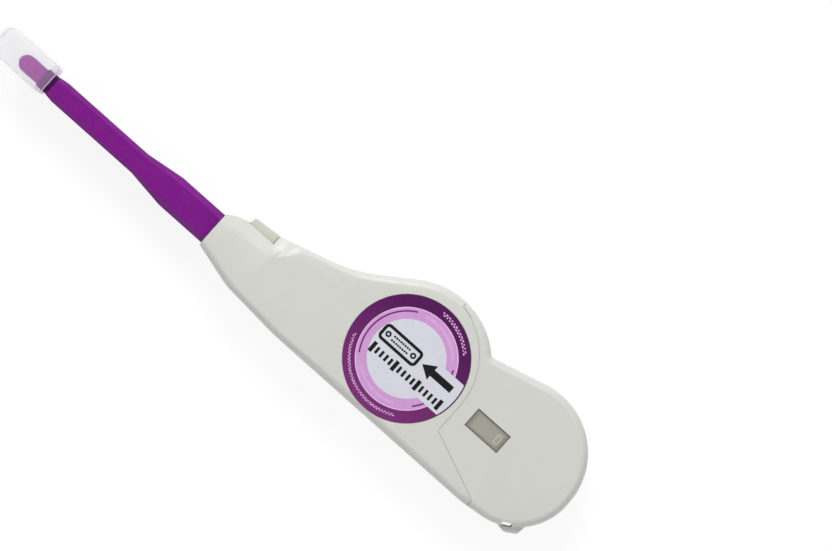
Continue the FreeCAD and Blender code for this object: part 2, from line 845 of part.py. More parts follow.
def build_button():
    """Build the lock button with its foot, and the leaf that lifts it."""
    front, rear = size("button_x"), size("button_rear")
    low = size("button_low")
    bend = size("button_round")
    plan = [(front, low, 0), (front, size("button_front_y"), bend),
            (rear, size("button_rear_y"), bend), (rear, low, 0)]
    block = prism("button_block", plan, "parting - button_width / 2", "parting + button_width / 2")
    foot = box("button_foot_plate",
               ("button_rear - 1", "button_low", "parting - button_foot_width / 2"),
               ("button_rear + button_foot", "button_low + button_foot_height",
                "parting + button_foot_width / 2"))
    sub_part(fuse("lock_button_solid", block, foot), "lock_button")
    leaf = box("button_leaf",
               ("button_rear + 0.5", "button_low - 0.15 - leaf_thickness", "parting - 2"),
               ("leaf_rear", "button_low - 0.15", "parting + 2"))
    sub_part(leaf, "button_spring")


# ---------------------------------------------------------------- nozzle, head and cap


def nozzle_section(name, x, part, inset):
    """Return one cross-section of the nozzle, moved in by a wall."""
    drop = 2 * (inset + (size("shoulder_drop") if part == "shoulder" else 0))
    like = "neck" if part == "shoulder" else part
    bevelled = {"nozzle_base": "nozzle_chamfer", "neck": "neck_chamfer", "seat": "seat_chamfer"}
    return cross_section(name, x, size(like + "_width") - drop, size(like + "_height") - drop,
                         size(bevelled[like]) - inset * 0.5)


def nozzle_body(name, inset, rear, front):
    """Return the nozzle's base, taper and neck, moved in by a wall."""
    base = extrude(name + "_base", nozzle_section(name + "_step", "nozzle_step", "nozzle_base", inset),
                   "(" + rear + ") - nozzle_step")
    taper = loft(name + "_taper",
                 nozzle_section(name + "_taper_rear", "nozzle_step", "nozzle_base", inset),
                 nozzle_section(name + "_taper_front", "neck_rear", "neck", inset))
    neck = extrude(name + "_neck", nozzle_section(name + "_front", front, "neck", inset),
                   "neck_rear - (" + front + ")")
    return fuse(name, base, taper, neck)


def build_nozzle():
    """Build the hollow nozzle, its tip and the head spring's seat."""
    body = nozzle_body("nozzle_body", 0, "nozzle_rear", "shoulder_rear")
    room = nozzle_body("nozzle_room", size("nozzle_wall"), "nozzle_rear + 1",
                       "seat_rear + nozzle_wall")
    shoulder = loft("nozzle_shoulder",
                    nozzle_section("shoulder_rear_section", "shoulder_rear", "neck", 0),
                    nozzle_section("shoulder_front_section", "seat_rear", "shoulder", 0))
    seat = extrude("cap_seat", nozzle_section("cap_seat_section", "neck_front", "seat", 0),
                   "seat_length + nozzle_wall / 2")
    bore = extrude("cap_seat_bore", nozzle_section("cap_seat_bore_section", "neck_front - 1",
                                                   "seat", size("seat_wall")),
                   "seat_length + 2 * nozzle_wall + 1")
    stop = box("spring_seat",
               ("nozzle_rear - 1.6", "nozzle_y - 1.7", "parting - nozzle_base_height / 2 + 0.5"),
               ("nozzle_rear", "nozzle_y + 1.7", "parting + nozzle_base_height / 2 - 0.5"))
    tube = cut("nozzle_tube", fuse("nozzle_skin", body, shoulder, seat), room, bore)
    sub_part(fuse("nozzle_solid", tube, stop), "nozzle")

    half = size("tip_width") / 2
    y = size("nozzle_y")
    front = size("tip_front")
    rear = size("neck_front")
    plan = [(front, y + half, half * 0.95), (rear, y + half, 0), (rear, y - half, 0),
            (front, y - half, half * 0.95)]
    nose = prism("tip_nose", plan, "parting - tip_height / 2", "parting + tip_height / 2")
    spigot = box("tip_spigot_block",
                 ("neck_front", "nozzle_y - seat_width / 2 + seat_wall + 0.02",
                  "parting - tip_height / 2 + 0.6"),
                 ("neck_front + tip_spigot", "nozzle_y + seat_width / 2 - seat_wall - 0.02",
                  "parting + tip_height / 2 - 0.6"))
    half_bore = "(head_thickness / 2 + tape_thickness + head_gap + 0.05)"
    bore = box("tip_bore",
               ("tip_front - 1", "nozzle_y - " + half_bore, "tape_floor - 2 * head_gap - 0.3"),
               ("neck_front + tip_spigot + 1", "nozzle_y + " + half_bore,
                "tape_roof + 2 * head_gap + 0.3"))
    sub_part(cut("tip_guide_solid", fuse("tip_body", nose, spigot), bore), "tip_guide")


def build_head():
    """Build the spring-loaded head, the tape folded over it and its spring."""
    y = size("nozzle_y")
    half = size("head_thickness") / 2
    nose = size("head_nose") / 2 - 0.15
    front = size("head_front") + size("tape_thickness") + size("head_gap")
    rear = size("head_rear")
    taper = size("tip_front") + 2.5
    plan = [(front, y + nose, nose * 0.9), (taper, y + half, 1.0), (rear, y + half, 0.3),
            (rear, y - half, 0.3), (taper, y - half, 1.0), (front, y - nose, nose * 0.9)]
    blade = prism("head_blade", plan, "tape_floor - head_gap", "tape_roof + head_gap")
    stem = box("head_stem",
               ("neck_front + tip_spigot + 2.2", "nozzle_y - head_thickness / 2",
                "parting - neck_height / 2 + nozzle_wall + head_gap"),
               ("head_rear", "nozzle_y + head_thickness / 2",
                "parting + neck_height / 2 - nozzle_wall - head_gap"))
    sub_part(fuse("cleaning_head_solid", blade, stem), "cleaning_head")

    reach = size("head_thickness") / 2 + size("tape_thickness") / 2 + 0.02
    fold = size("head_nose") / 2 + size("tape_thickness") / 2 + 0.02
    end = size("head_front") + size("tape_thickness") / 2
    side = size("neck_front") + size("tip_spigot")
    line = [(side, y - reach), (taper, y - reach), (end + 1.0, y - fold - 0.12),
            (end + 0.3, y - fold * 0.78), (end - 0.02, y - fold * 0.4), (end - 0.02, y + fold * 0.4),
            (end + 0.3, y + fold * 0.78), (end + 1.0, y + fold + 0.12), (taper, y + reach),
            (side, y + reach)]
    sub_part(ribbon("tape_fold_solid", line), "tape_fold")
    wire = size("head_spring_wire")
    spring = coil("head_spring_solid", rear + 0.02, size("nozzle_rear") - 1.62, y,
                  size("head_spring_radius") - wire / 2, wire, size("head_spring_turns"))
    sub_part(spring, "head_spring")


def build_cap():
    """Build the clear cap that covers the tip, closed at its far end."""
    front, mouth = size("cap_front"), size("cap_mouth")
    low, high = size("cap_low"), size("cap_high")
    floor, roof = size("cap_floor"), size("cap_roof")
    wall = size("cap_wall")
    corner = size("cap_corner")
    lip = size("cap_lip")
    plan = [(front, high, corner), (mouth, high, lip), (mouth, low, lip), (front, low, corner)]
    skin = prism("cap_skin", plan, "cap_floor", "cap_roof")

    def rim(edge):
        bounds = edge.BoundBox
        level = bounds.ZMax - bounds.ZMin < 1e-4
        return level and (abs(bounds.ZMin - floor) < 1e-4 or abs(bounds.ZMin - roof) < 1e-4)

    rounded = bevel("cap_bevelled", skin, size("cap_bevel"), rim)
    inner = corner - wall
    hollow_plan = [(front + wall, high - wall, inner), (mouth + OVERCUT, high - wall, 0),
                   (mouth + OVERCUT, low + wall, 0), (front + wall, low + wall, inner)]
    hollow = prism("cap_hollow", hollow_plan, "cap_floor + cap_wall", "cap_roof - cap_wall")
    grip = "(seat_width / 2 + cap_gap)"
    ribs = []
    for number, level in enumerate(("parting - 3", "parting + 3")):
        heights = (level + " - cap_rib / 2", level + " + cap_rib / 2")
        ribs.append(box("cap_rib_low_" + str(number),
                        ("cap_mouth - 2.7", "cap_low + cap_wall - 0.1", heights[0]),
                        ("cap_mouth - 0.5", "nozzle_y - " + grip, heights[1])))
        ribs.append(box("cap_rib_high_" + str(number),
                        ("cap_mouth - 2.7", "nozzle_y + " + grip, heights[0]),
                        ("cap_mouth - 0.5", "cap_high - cap_wall + 0.1", heights[1])))
    shell = cut("cap_shell", rounded, hollow)
    sub_part(fuse("guide_cap_solid", shell, *ribs), "guide_cap")


# ---------------------------------------------------------------- carriage and reels


def guide_pins():
    """Return the places of the four pins that lead the tape, in the order it passes them."""
    return [(size("first_pin_x"), size("first_pin_y")), (size("second_pin_x"), size("first_pin_y")),
            (size("third_pin_x"), size("third_pin_y")), (size("fourth_pin_x"), size("fourth_pin_y"))]


def build_carriage():
    """Build the sliding plate with its posts, pins, pawl, brake and clips."""
    level = ("plate_floor", "plate_top")
    nose = box("plate_nose", ("nozzle_rear + nozzle_gap", "nozzle_y - 5.3", level[0]),
               ("take_up_x - 12", "nozzle_y + 5.3", level[1]))
    tab = box("plate_tab", ("second_pin_x - 6", "first_pin_y - 0.8", level[0]),
              ("take_up_x - 4", "nozzle_y - 2.1", level[1]))
    pin_tab = box("plate_pin_tab", ("first_pin_x - 2.5", "first_pin_y - 1.4", level[0]),
                  ("first_pin_x + 2.5", "-6", level[1]))
    lug_tab = box("plate_lug_tab", ("return_spring_front - 1.4", "nozzle_y + 3.9", level[0]),
                  ("return_spring_front + 6", "return_spring_y + 1.6", level[1]))
    lug = box("plate_lug", ("return_spring_front - 1.4", "return_spring_y - 2.6", level[0]),
              ("return_spring_front", "return_spring_y + 1.6", "parting + 2.2"))
    bridge = box("plate_bridge", ("take_up_x", "-0.7 * pad_radius", level[0]),
                 ("supply_x", "0.7 * pad_radius", level[1]))
    pads = [rod("plate_pad_front", ROLLER_SIDES, "pad_radius", "take_up_x", 0, *level),
            rod("plate_pad_rear", ROLLER_SIDES, "pad_radius", "supply_x", 0, *level)]
    posts = [rod("take_up_post", POST_SIDES, "post_radius", "take_up_x", 0, level[0],
                 "pinion_top + running_gap + clip_thickness"),
             rod("supply_post", POST_SIDES, "post_radius", "supply_x", 0, level[0],
                 "reel_top + running_gap + clip_thickness")]
    shoulder = rod("take_up_shoulder", POST_SIDES, "post_radius + 1.4", "take_up_x", 0, level[0],
                   "flange_low - running_gap")
    hole = rod("plate_hole_middle", BOSS_SIDES, "plate_hole", "take_up_x + reel_spacing / 2", 0,
               "plate_floor - 1", "plate_top + 1")
    plate = cut("plate_pierced", fuse("plate_body", nose, tab, pin_tab, lug_tab, lug, bridge, *pads),
                hole)
    sub_part(fuse("carriage_plate_solid", plate, *posts, shoulder), "carriage_plate")

    pins = []
    for number, (x, y) in enumerate(guide_pins()):
        pin = rod("guide_pin_" + str(number), BOSS_SIDES, "pin_radius", x, y, "plate_top",
                  "tape_roof + 0.8")
        collar = rod("guide_collar_" + str(number), BOSS_SIDES, "pin_collar", x, y, "plate_top",
                     "tape_floor - 0.3")
        pins.append(fuse("guide_" + str(number), pin, collar))
    group = doc.addObject("Part::Compound", "guide_pins_group")
    group.Links = pins
    sub_part(group, "guide_pins")

    tip_x, tip_y = on_circle((size("take_up_x"), 0), size("take_up_flange") + size("reel_gap"),
                             size("pawl_angle"))
    reach = size("pawl_length")
    thick = size("pawl_width")
    pawl = prism("ratchet_pawl_solid",
                 [(tip_x, tip_y, 0), (tip_x - reach * 0.37, tip_y - thick * 0.9, 0.5),
                  (tip_x - reach, tip_y - thick * 1.3, 1.0),
                  (tip_x - reach, tip_y - thick * 0.3, 1.0),
                  (tip_x - reach * 0.39, tip_y - thick * 0.25, 0.5)],
                 "plate_top", "flange_low + flange_thickness")
    sub_part(pawl, "ratchet_pawl")

    washer = cut("brake_washer_solid",
                 rod("brake_disc", ROLLER_SIDES, "brake_radius", "supply_x", 0, "plate_top",
                     "flange_low - running_gap"),
                 rod("brake_bore", POST_SIDES, "hub_bore + 0.1", "supply_x", 0, "plate_top - 1",
                     "flange_low + 1"))
    sub_part(washer, "brake_washer")

    clips = []
    for name, x, floor in (("take_up", "take_up_x", "pinion_top + running_gap"),
                           ("supply", "supply_x", "reel_top + running_gap")):
        disc = rod(name + "_clip_disc", POST_SIDES, "clip_radius", x, 0, floor,
                   floor + " + clip_thickness")
        bore = rod(name + "_clip_bore", POST_SIDES, "post_radius + 0.02", x, 0, floor + " - 1",
                   floor + " + clip_thickness + 1")
        clips.append(cut(name + "_clip", disc, bore))
    clip_group = doc.addObject("Part::Compound", "reel_clips_group")
    clip_group.Links = clips
    sub_part(clip_group, "reel_clips")


def reel_window(flange_radius, angle):
    """Return the corners of one opening between two spokes of a flange."""
    half_spoke = size("spoke_width") / 2
    inner = size("hub_radius") + half_spoke
    outer = flange_radius - half_spoke
    corners = []
    for radius, side in ((inner, -1), (outer, -1), (outer, 1), (inner, 1)):
        swing = 30 - math.degrees(math.asin(half_spoke / radius))
        corners.append((*on_circle((0, 0), radius, angle + side * swing), 0))
    return corners


def build_reel(name, x, flange_radius, roll_radius, lower_flange):
    """Build one flanged reel on its bore and the tape wound on its hub."""
    hub = rod(name + "_hub", ROLLER_SIDES, "hub_radius", x, 0, "flange_low", "reel_top")
    upper = rod(name + "_upper", FINE_SIDES, flange_radius, x, 0, "flange_high", "reel_top")
    bore = rod(name + "_bore", POST_SIDES, "hub_bore", x, 0, "flange_low - 1", "reel_top + 1")
    windows = []
    for number in range(6):
        opening = prism(name + "_window_" + str(number),
                        reel_window(size(flange_radius), number * 60 + 30),
                        "flange_high - 1", "reel_top + 1")
        windows.append(place(opening, x=x))
    body = cut(name + "_body", fuse(name + "_blank", hub, upper, lower_flange), bore, *windows)
    sub_part(body, name + "_reel")
    roll = rod(name + "_roll", FINE_SIDES, roll_radius, x, 0, "tape_floor", "tape_roof")
    core = rod(name + "_core", ROLLER_SIDES, "hub_radius + 0.01", x, 0, "tape_floor - 1",
               "tape_roof + 1")
    sub_part(cut(name + "_tape_solid", roll, core), name + "_tape")


def build_reels():
    """Build both reels, the pinion and the two lengths of running tape."""
    rim = prism("ratchet_rim", ratchet_outline(size("take_up_flange")),
                "flange_low", "flange_low + flange_thickness")
    place(rim, x="take_up_x")
    build_reel("take_up", "take_up_x", "take_up_flange", "take_up_roll", rim)
    plain = rod("supply_lower", FINE_SIDES, "supply_flange", "supply_x", 0, "flange_low",
                "flange_low + flange_thickness")
    build_reel("supply", "supply_x", "supply_flange", "supply_roll", plain)

    teeth = prism("pinion_teeth_ring", pinion_outline(), "pinion_floor", "pinion_top")
    place(teeth, x="take_up_x")
    seat = rod("pinion_seat", ROLLER_SIDES, "pinion_radius - 1.6 * pinion_module", "take_up_x", 0,
               "reel_top", "pinion_top")
    bore = rod("pinion_bore", POST_SIDES, "hub_bore", "take_up_x", 0, "reel_top - 1",
               "pinion_top + 1")
    sub_part(cut("drive_pinion_solid", fuse("pinion_body", teeth, seat), bore), "drive_pinion")

    half = size("tape_thickness") / 2
    reach = (size("pin_radius") + half + 0.03) * 1.08
    first, second, third, fourth = guide_pins()
    run_start = size("neck_front") + size("tip_spigot") + 1.0
    feed_y = size("feed_y") + half - 0.02
    return_y = size("return_y") - half + 0.02
    feed = [(size("supply_x"), -size("supply_roll") - half - 0.02), (first[0], first[1] - reach),
            (second[0], second[1] - reach), (third[0] + 0.4, third[1] - reach),
            (third[0] - 2.0, third[1] - reach + 0.25), (size("head_rear") + 1, feed_y),
            (run_start, feed_y)]
    sub_part(ribbon("tape_feed_solid", feed), "tape_feed")
    back = [(run_start, return_y), (size("head_rear") + 1, return_y), (fourth[0], fourth[1] + reach),
            (size("take_up_x"), -size("take_up_roll") - half - 0.02)]
    sub_part(ribbon("tape_return_solid", back), "tape_return")

    wire = size("return_spring_wire")
    spring = coil("return_spring_solid", size("return_spring_front") + 0.02,
                  size("return_spring_rear") - 0.02, size("return_spring_y"),
                  size("return_spring_radius") - wire / 2, wire, size("return_spring_turns"))
    sub_part(spring, "return_spring")


# ---------------------------------------------------------------- check and write


def check_document():
    """Stop with a plain message if any object failed or any piece isn't a sound solid."""
    doc.recompute()
    for obj in doc.Objects:
        if "Invalid" in obj.State or "Error" in obj.State:
            raise RuntimeError("failed object: " + obj.Name + " " + str(obj.State))
    for obj in SUB_PARTS:
        shape = obj.Shape
        if shape.isNull() or not shape.isValid() or not shape.Solids:
            raise RuntimeError("unsound piece: " + obj.Label)


def write_parts():
    """Write each piece to its own file and print its size."""
    os.makedirs("parts", exist_ok=True)
    for obj in SUB_PARTS:
        shape = obj.Shape
        shape.exportStep("parts/" + obj.Label + ".step")
        bounds = shape.BoundBox
        print(obj.Label, len(shape.Solids), "solid,", round(shape.Volume, 1), "mm3, x",
              round(bounds.XMin, 2), round(bounds.XMax, 2), "y", round(bounds.YMin, 2),
              round(bounds.YMax, 2), "z", round(bounds.ZMin, 2), round(bounds.ZMax, 2))


fill_sheet()
build_housing()
build_button()
build_nozzle()
build_head()
build_cap()
build_carriage()
build_reels()
check_document()
write_parts()
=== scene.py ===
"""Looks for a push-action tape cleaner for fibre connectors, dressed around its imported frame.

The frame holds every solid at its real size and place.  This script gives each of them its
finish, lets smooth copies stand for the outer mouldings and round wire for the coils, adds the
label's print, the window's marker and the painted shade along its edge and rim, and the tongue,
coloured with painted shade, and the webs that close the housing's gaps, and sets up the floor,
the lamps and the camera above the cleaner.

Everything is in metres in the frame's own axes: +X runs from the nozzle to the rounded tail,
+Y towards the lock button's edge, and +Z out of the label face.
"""

import json
import logging
import math
from dataclasses import dataclass, field
from enum import Enum
from typing import Any, Iterable, Optional, Sequence

import bmesh
import bpy
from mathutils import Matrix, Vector

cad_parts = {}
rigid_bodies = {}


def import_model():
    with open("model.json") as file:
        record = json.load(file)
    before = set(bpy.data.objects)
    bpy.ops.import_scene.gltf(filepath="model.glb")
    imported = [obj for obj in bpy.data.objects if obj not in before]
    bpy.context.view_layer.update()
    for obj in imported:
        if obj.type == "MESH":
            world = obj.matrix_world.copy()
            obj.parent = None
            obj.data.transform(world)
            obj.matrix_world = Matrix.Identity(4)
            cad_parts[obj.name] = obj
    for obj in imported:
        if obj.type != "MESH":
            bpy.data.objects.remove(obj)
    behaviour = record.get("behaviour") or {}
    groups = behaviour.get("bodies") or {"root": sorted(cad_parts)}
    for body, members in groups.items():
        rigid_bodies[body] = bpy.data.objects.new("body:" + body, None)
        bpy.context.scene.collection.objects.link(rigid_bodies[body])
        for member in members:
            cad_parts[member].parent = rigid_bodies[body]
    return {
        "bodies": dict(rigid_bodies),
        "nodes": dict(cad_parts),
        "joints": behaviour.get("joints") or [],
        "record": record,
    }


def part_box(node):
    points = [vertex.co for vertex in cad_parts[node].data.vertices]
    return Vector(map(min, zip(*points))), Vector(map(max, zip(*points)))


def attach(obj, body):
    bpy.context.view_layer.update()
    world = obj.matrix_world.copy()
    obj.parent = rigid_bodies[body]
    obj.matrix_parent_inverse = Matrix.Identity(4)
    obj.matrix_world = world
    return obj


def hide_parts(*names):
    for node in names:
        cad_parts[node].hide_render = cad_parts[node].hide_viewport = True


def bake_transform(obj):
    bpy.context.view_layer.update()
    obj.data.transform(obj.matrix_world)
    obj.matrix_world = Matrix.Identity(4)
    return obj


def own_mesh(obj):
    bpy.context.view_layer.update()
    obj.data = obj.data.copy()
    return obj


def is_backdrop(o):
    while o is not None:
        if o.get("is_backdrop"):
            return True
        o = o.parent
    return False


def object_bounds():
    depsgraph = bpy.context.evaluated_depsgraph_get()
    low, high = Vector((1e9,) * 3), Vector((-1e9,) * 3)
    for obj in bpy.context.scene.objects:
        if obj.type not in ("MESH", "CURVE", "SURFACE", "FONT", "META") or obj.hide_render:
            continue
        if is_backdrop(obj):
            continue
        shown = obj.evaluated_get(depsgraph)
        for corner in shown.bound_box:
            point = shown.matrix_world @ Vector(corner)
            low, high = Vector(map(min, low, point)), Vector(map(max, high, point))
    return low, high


LOG = logging.getLogger("cleaner")
MM = 0.001
SHARP_ANGLE = math.radians(35)
FLAT_ANGLE = math.radians(0.5)
ARC_STEP = math.radians(3)
MERGE = 0.0001 * MM
Triple = tuple[float, float, float]
Colour = Triple
Pair = tuple[float, float]


def linear(red: int, green: int, blue: int) -> Colour:
    """Turn a display colour into the linear one that a shader wants.

    Args:
        red: Red, 0 to 255.
        green: Green, 0 to 255.
        blue: Blue, 0 to 255.

    Returns:
        The linear colour, each part 0 to 1.
    """

    def part(value: int) -> float:
        """One part of the colour, made linear."""
        share = value / 255
        return share / 12.92 if share <= 0.04045 else ((share + 0.055) / 1.055) ** 2.4

    return part(red), part(green), part(blue)


def shaded(colour: Colour, factor: float) -> Colour:
    """The same colour, lighter or darker by a factor."""
    red, green, blue = (min(1.0, value * factor) for value in colour)
    return red, green, blue


# ---- Finishes ----


class NodeTree:
    """The nodes of one tree and the links between them.

    Attributes:
        tree: The tree.
    """

    tree: bpy.types.NodeTree

    def add(
        self, kind: str, inputs: Optional[dict[Any, Any]] = None, **settings: Any
    ) -> bpy.types.Node:
        """Add one node.

        Args:
            kind: The node's type.
            inputs: What goes into its sockets, each a value or another node's output.
            settings: The node's own options.

        Returns:
            The node.
        """
        node = self.tree.nodes.new(kind)
        for option, value in settings.items():
            setattr(node, option, value)
        for socket, value in (inputs or {}).items():
            self.feed(node.inputs[socket], value)
        return node

    def feed(self, socket: bpy.types.NodeSocket, value: Any) -> None:
        """Link an output to a socket, or set the socket's own value.

        Args:
            socket: The socket.
            value: An output, a colour or a plain value.
        """
        if isinstance(value, bpy.types.NodeSocket):
            self.tree.links.new(value, socket)
        elif isinstance(value, tuple) and len(value) == 3 and socket.type == "RGBA":
            socket.default_value = (*value, 1.0)
        else:
            socket.default_value = value

    def calc(self, operation: str, first: Any, second: Any = 0.0) -> bpy.types.NodeSocket:
        """One step of arithmetic."""
        return self.add("ShaderNodeMath", {0: first, 1: second}, operation=operation).outputs[0]


class Graph(NodeTree):
    """The node graph of one material, read in Object coordinates."""

    def __init__(self, name: str) -> None:
        """Start a material with its Principled shader."""
        self.material = bpy.data.materials.new(name)
        self.material.use_nodes = True
        self.tree = self.material.node_tree
        self.shader = self.tree.nodes["Principled BSDF"]
        self.place = self.add("ShaderNodeTexCoord").outputs["Object"]

    def along(self, axis: str) -> bpy.types.NodeSocket:
        """The Object coordinate along one axis."""
        return self.add("ShaderNodeSeparateXYZ", {0: self.place}).outputs[axis]

    def stretched(self, scale: Triple) -> bpy.types.NodeSocket:
        """Object coordinates multiplied along each axis."""
        return self.add("ShaderNodeMapping", {"Vector": self.place, "Scale": scale}).outputs["Vector"]

    def noise(
        self,
        grain: float,
        detail: float = 3.0,
        stretch: Triple = (1.0, 1.0, 1.0),
        roughness: float = 0.5,
    ) -> bpy.types.NodeSocket:
        """Noise whose lumps are about one grain across.

        Args:
            grain: Size of a lump in metres.
            detail: Octaves of finer noise on top.
            stretch: How much finer it is along each axis.
            roughness: Share of the finer octaves.

        Returns:
            The noise, about 0.25 to 0.75.
        """
        where = self.place if stretch == (1.0, 1.0, 1.0) else self.stretched(stretch)
        sizes = {"Vector": where, "Scale": 1 / grain, "Detail": detail, "Roughness": roughness}
        return self.add("ShaderNodeTexNoise", sizes).outputs["Fac"]

    def between(
        self,
        factor: bpy.types.NodeSocket,
        low: float,
        high: float,
        start: float = 0.3,
        end: float = 0.7,
    ) -> bpy.types.NodeSocket:
        """A value that goes from low to high as the factor goes from start to end."""
        span = {"From Min": start, "From Max": end, "To Min": low, "To Max": high}
        return self.add("ShaderNodeMapRange", {"Value": factor, **span}).outputs["Result"]

    def blend(self, factor: Any, first: Any, second: Any) -> bpy.types.NodeSocket:
        """Two colours, or their outputs, mixed by a factor.

        Args:
            factor: 0 for the first, 1 for the second.
            first: The first colour.
            second: The second one.

        Returns:
            The mixed colour.
        """
        node = self.add("ShaderNodeMix", {0: factor}, data_type="RGBA")
        self.feed(node.inputs[6], first)
        self.feed(node.inputs[7], second)
        return node.outputs[2]

    def tint(self, factor: Any, share: float, tone: Any, other: Any) -> bpy.types.NodeSocket:
        """A tone with up to a share of another one mixed in, as the factor rises."""
        return self.blend(self.between(factor, 0.0, share), tone, other)

    def wave(self, place: Any, pitch: float) -> bpy.types.NodeSocket:
        """A sine wave of a pitch in metres."""
        return self.calc("SINE", self.calc("MULTIPLY", place, math.tau / pitch))

    def relief(
        self, height: bpy.types.NodeSocket, depth: float, below: Any = None
    ) -> bpy.types.NodeSocket:
        """Surface relief of a depth in metres, on top of a coarser relief if one is given.

        Args:
            height: Height, 0 to 1.
            depth: How deep it is in metres.
            below: The coarser relief, or None.

        Returns:
            The relief.
        """
        node = self.add("ShaderNodeBump", {"Height": height, "Distance": depth, "Strength": 1.0})
        if below is not None:
            self.feed(node.inputs["Normal"], below)
        return node.outputs["Normal"]

    def set(self, **values: Any) -> None:
        """Set or link the shader's sockets, named with _ for a space."""
        for name, value in values.items():
            self.feed(self.shader.inputs[name.replace("_", " ")], value)


@dataclass(frozen=True)
class Finish:
    """What every finish has.

    Attributes:
        name: The material's name.
        colour: Its colour, linear; of clear plastic the tint that light takes on through it.
    """

    name: str
    colour: Colour


@dataclass(frozen=True)
class MouldedPlastic(Finish):
    """Injection-moulded plastic with the fine grain of its mould.

    Attributes:
        roughness: Roughness where it is unworn.
        grain: Size of the mould's texture in metres.
        depth: Depth of that texture in metres.
        mottle: How far its colour wanders, as a share.
        scuff: How far handling changes the gloss.
        cloud: Size of the patches in which its colour wanders.
        band: The colour of a stretch painted with the shade that its neighbour casts on it, or None.
        shade_band_span: Where along X that stretch starts and ends.
        fade: Half the length over which it fades in and out.
        shine: How strongly its skin reflects, 0.5 for plain plastic.
    """

    roughness: float = 0.42
    grain: float = 0.35 * MM
    depth: float = 0.012 * MM
    mottle: float = 0.03
    scuff: float = 0.10
    cloud: float = 16 * MM
    band: Optional[Colour] = None
    shade_band_span: Pair = (0.0, 0.0)
    fade: float = 0.15 * MM
    shine: float = 0.5

    def build(self) -> bpy.types.Material:
        """Make the material."""
        graph = Graph(self.name)
        cloud = graph.noise(self.cloud, detail=2.0)
        fleck = graph.noise(self.grain * 2.5, detail=2.0)
        paler, darker = (shaded(self.colour, 1 + side * self.mottle) for side in (1, -1))
        tone = graph.tint(cloud, 1.0, darker, paler)
        tone = graph.tint(fleck, self.mottle, tone, shaded(self.colour, 0.7))
        # Painted shade: a darker band along X where a neighbour shades the surface.
        if self.band is not None:
            along = graph.along("X")
            start, end = self.shade_band_span
            enter = graph.between(along, 0.0, 1.0, start - self.fade, start + self.fade)
            leave = graph.between(along, 1.0, 0.0, end - self.fade, end + self.fade)
            tone = graph.blend(graph.calc("MULTIPLY", enter, leave), tone, self.band)
        handling = graph.noise(2.2 * MM, detail=4.0)
        gloss = graph.between(handling, self.roughness - self.scuff, self.roughness + self.scuff)
        waves = graph.relief(graph.noise(9 * MM, detail=1.0), 0.05 * MM)
        skin = graph.relief(graph.noise(self.grain, detail=3.0), self.depth, waves)
        graph.set(Base_Color=tone, Roughness=gloss, Normal=skin, Specular_IOR_Level=self.shine)
        graph.set(IOR=1.5)
        return graph.material


@dataclass(frozen=True)
class ClearPlastic(Finish):
    """Clear or milky plastic that shows what is behind it.

    Attributes:
        roughness: Haze, 0 for clear.
        passing: Share of the light that goes through.
        index: Refractive index.
        streak: Size of the flow lines in metres.
        rim: Colour of a painted highlight on its rim, the bright line where its edge catches light with
            the purple under it showing through, or None.
        rim_start: Where along X the rim starts.
        rim_fade: Half the length over which it starts.
        rim_passing: Share of the light that goes through the rim.
    """

    roughness: float = 0.1
    passing: float = 0.93
    index: float = 1.12
    streak: float = 6 * MM
    rim: Optional[Colour] = None
    rim_start: float = 0.0
    rim_fade: float = 0.05 * MM
    rim_passing: float = 0.1

    def build(self) -> bpy.types.Material:
        """Make the material."""
        graph = Graph(self.name)
        flow = graph.noise(self.streak, detail=3.0, stretch=(0.25, 1.0, 1.0))
        tone = graph.tint(flow, 1.0, shaded(self.colour, 0.985), self.colour)
        haze = graph.between(flow, self.roughness * 0.8, self.roughness * 1.2)
        skin = graph.relief(graph.noise(2.5 * MM, detail=1.0), 0.006 * MM)
        passing: Any = self.passing
        # Painted highlight: the rim turns bright and nearly opaque.
        if self.rim is not None:
            start, end = self.rim_start - self.rim_fade, self.rim_start + self.rim_fade
            share = graph.between(graph.along("X"), 0.0, 1.0, start, end)
            tone = graph.blend(share, tone, self.rim)
            passing = graph.between(share, self.passing, self.rim_passing)
        graph.set(Base_Color=tone, Roughness=haze, Normal=skin)
        graph.set(Transmission_Weight=passing, IOR=self.index)
        return graph.material


@dataclass(frozen=True)
class PrintedInk(Finish):
    """Ink on the label's film, with the grain of its printing.

    Attributes:
        lower: The colour that it fades to towards the label's lower edge, or None.
        radius: Radius of the label, over which it fades.
    """

    lower: Optional[Colour] = None
    radius: float = 20 * MM

    def build(self) -> bpy.types.Material:
        """Make the material."""
        graph = Graph(self.name)
        tone: Any = self.colour
        if self.lower is not None:
            fade = graph.between(graph.along("Y"), 1.0, 0.0, -self.radius, self.radius * 0.6)
            tone = graph.blend(fade, self.colour, self.lower)
        speck = graph.noise(0.25 * MM, detail=2.0)
        cloud = graph.noise(6 * MM, detail=2.0)
        tone = graph.tint(cloud, 0.12, tone, shaded(self.colour, 1.5))
        tone = graph.tint(speck, 0.10, tone, shaded(self.colour, 0.6))
        film = graph.relief(graph.noise(2.5 * MM, detail=2.0), 0.012 * MM)
        gloss = graph.between(graph.noise(1.5 * MM), 0.24, 0.34)
        graph.set(Base_Color=tone, Roughness=gloss, Normal=film)
        return graph.material


@dataclass(frozen=True)
class DrawnSteel(Finish):
    """Drawn and ground spring or spindle steel.

    Attributes:
        roughness: Roughness of the drawn surface.
    """

    roughness: float = 0.28

    def build(self) -> bpy.types.Material:
        """Make the material."""
        graph = Graph(self.name)
        lines = graph.noise(0.12 * MM, detail=3.0, stretch=(0.2, 1.0, 1.0))
        stain = graph.noise(3 * MM, detail=3.0)
        tone = graph.tint(stain, 0.35, self.colour, shaded(self.colour, 0.72))
        gloss = graph.between(lines, self.roughness * 0.7, self.roughness * 1.4)
        skin = graph.relief(lines, 0.004 * MM)
        graph.set(Base_Color=tone, Roughness=gloss, Normal=skin, Metallic=1.0)
        return graph.material


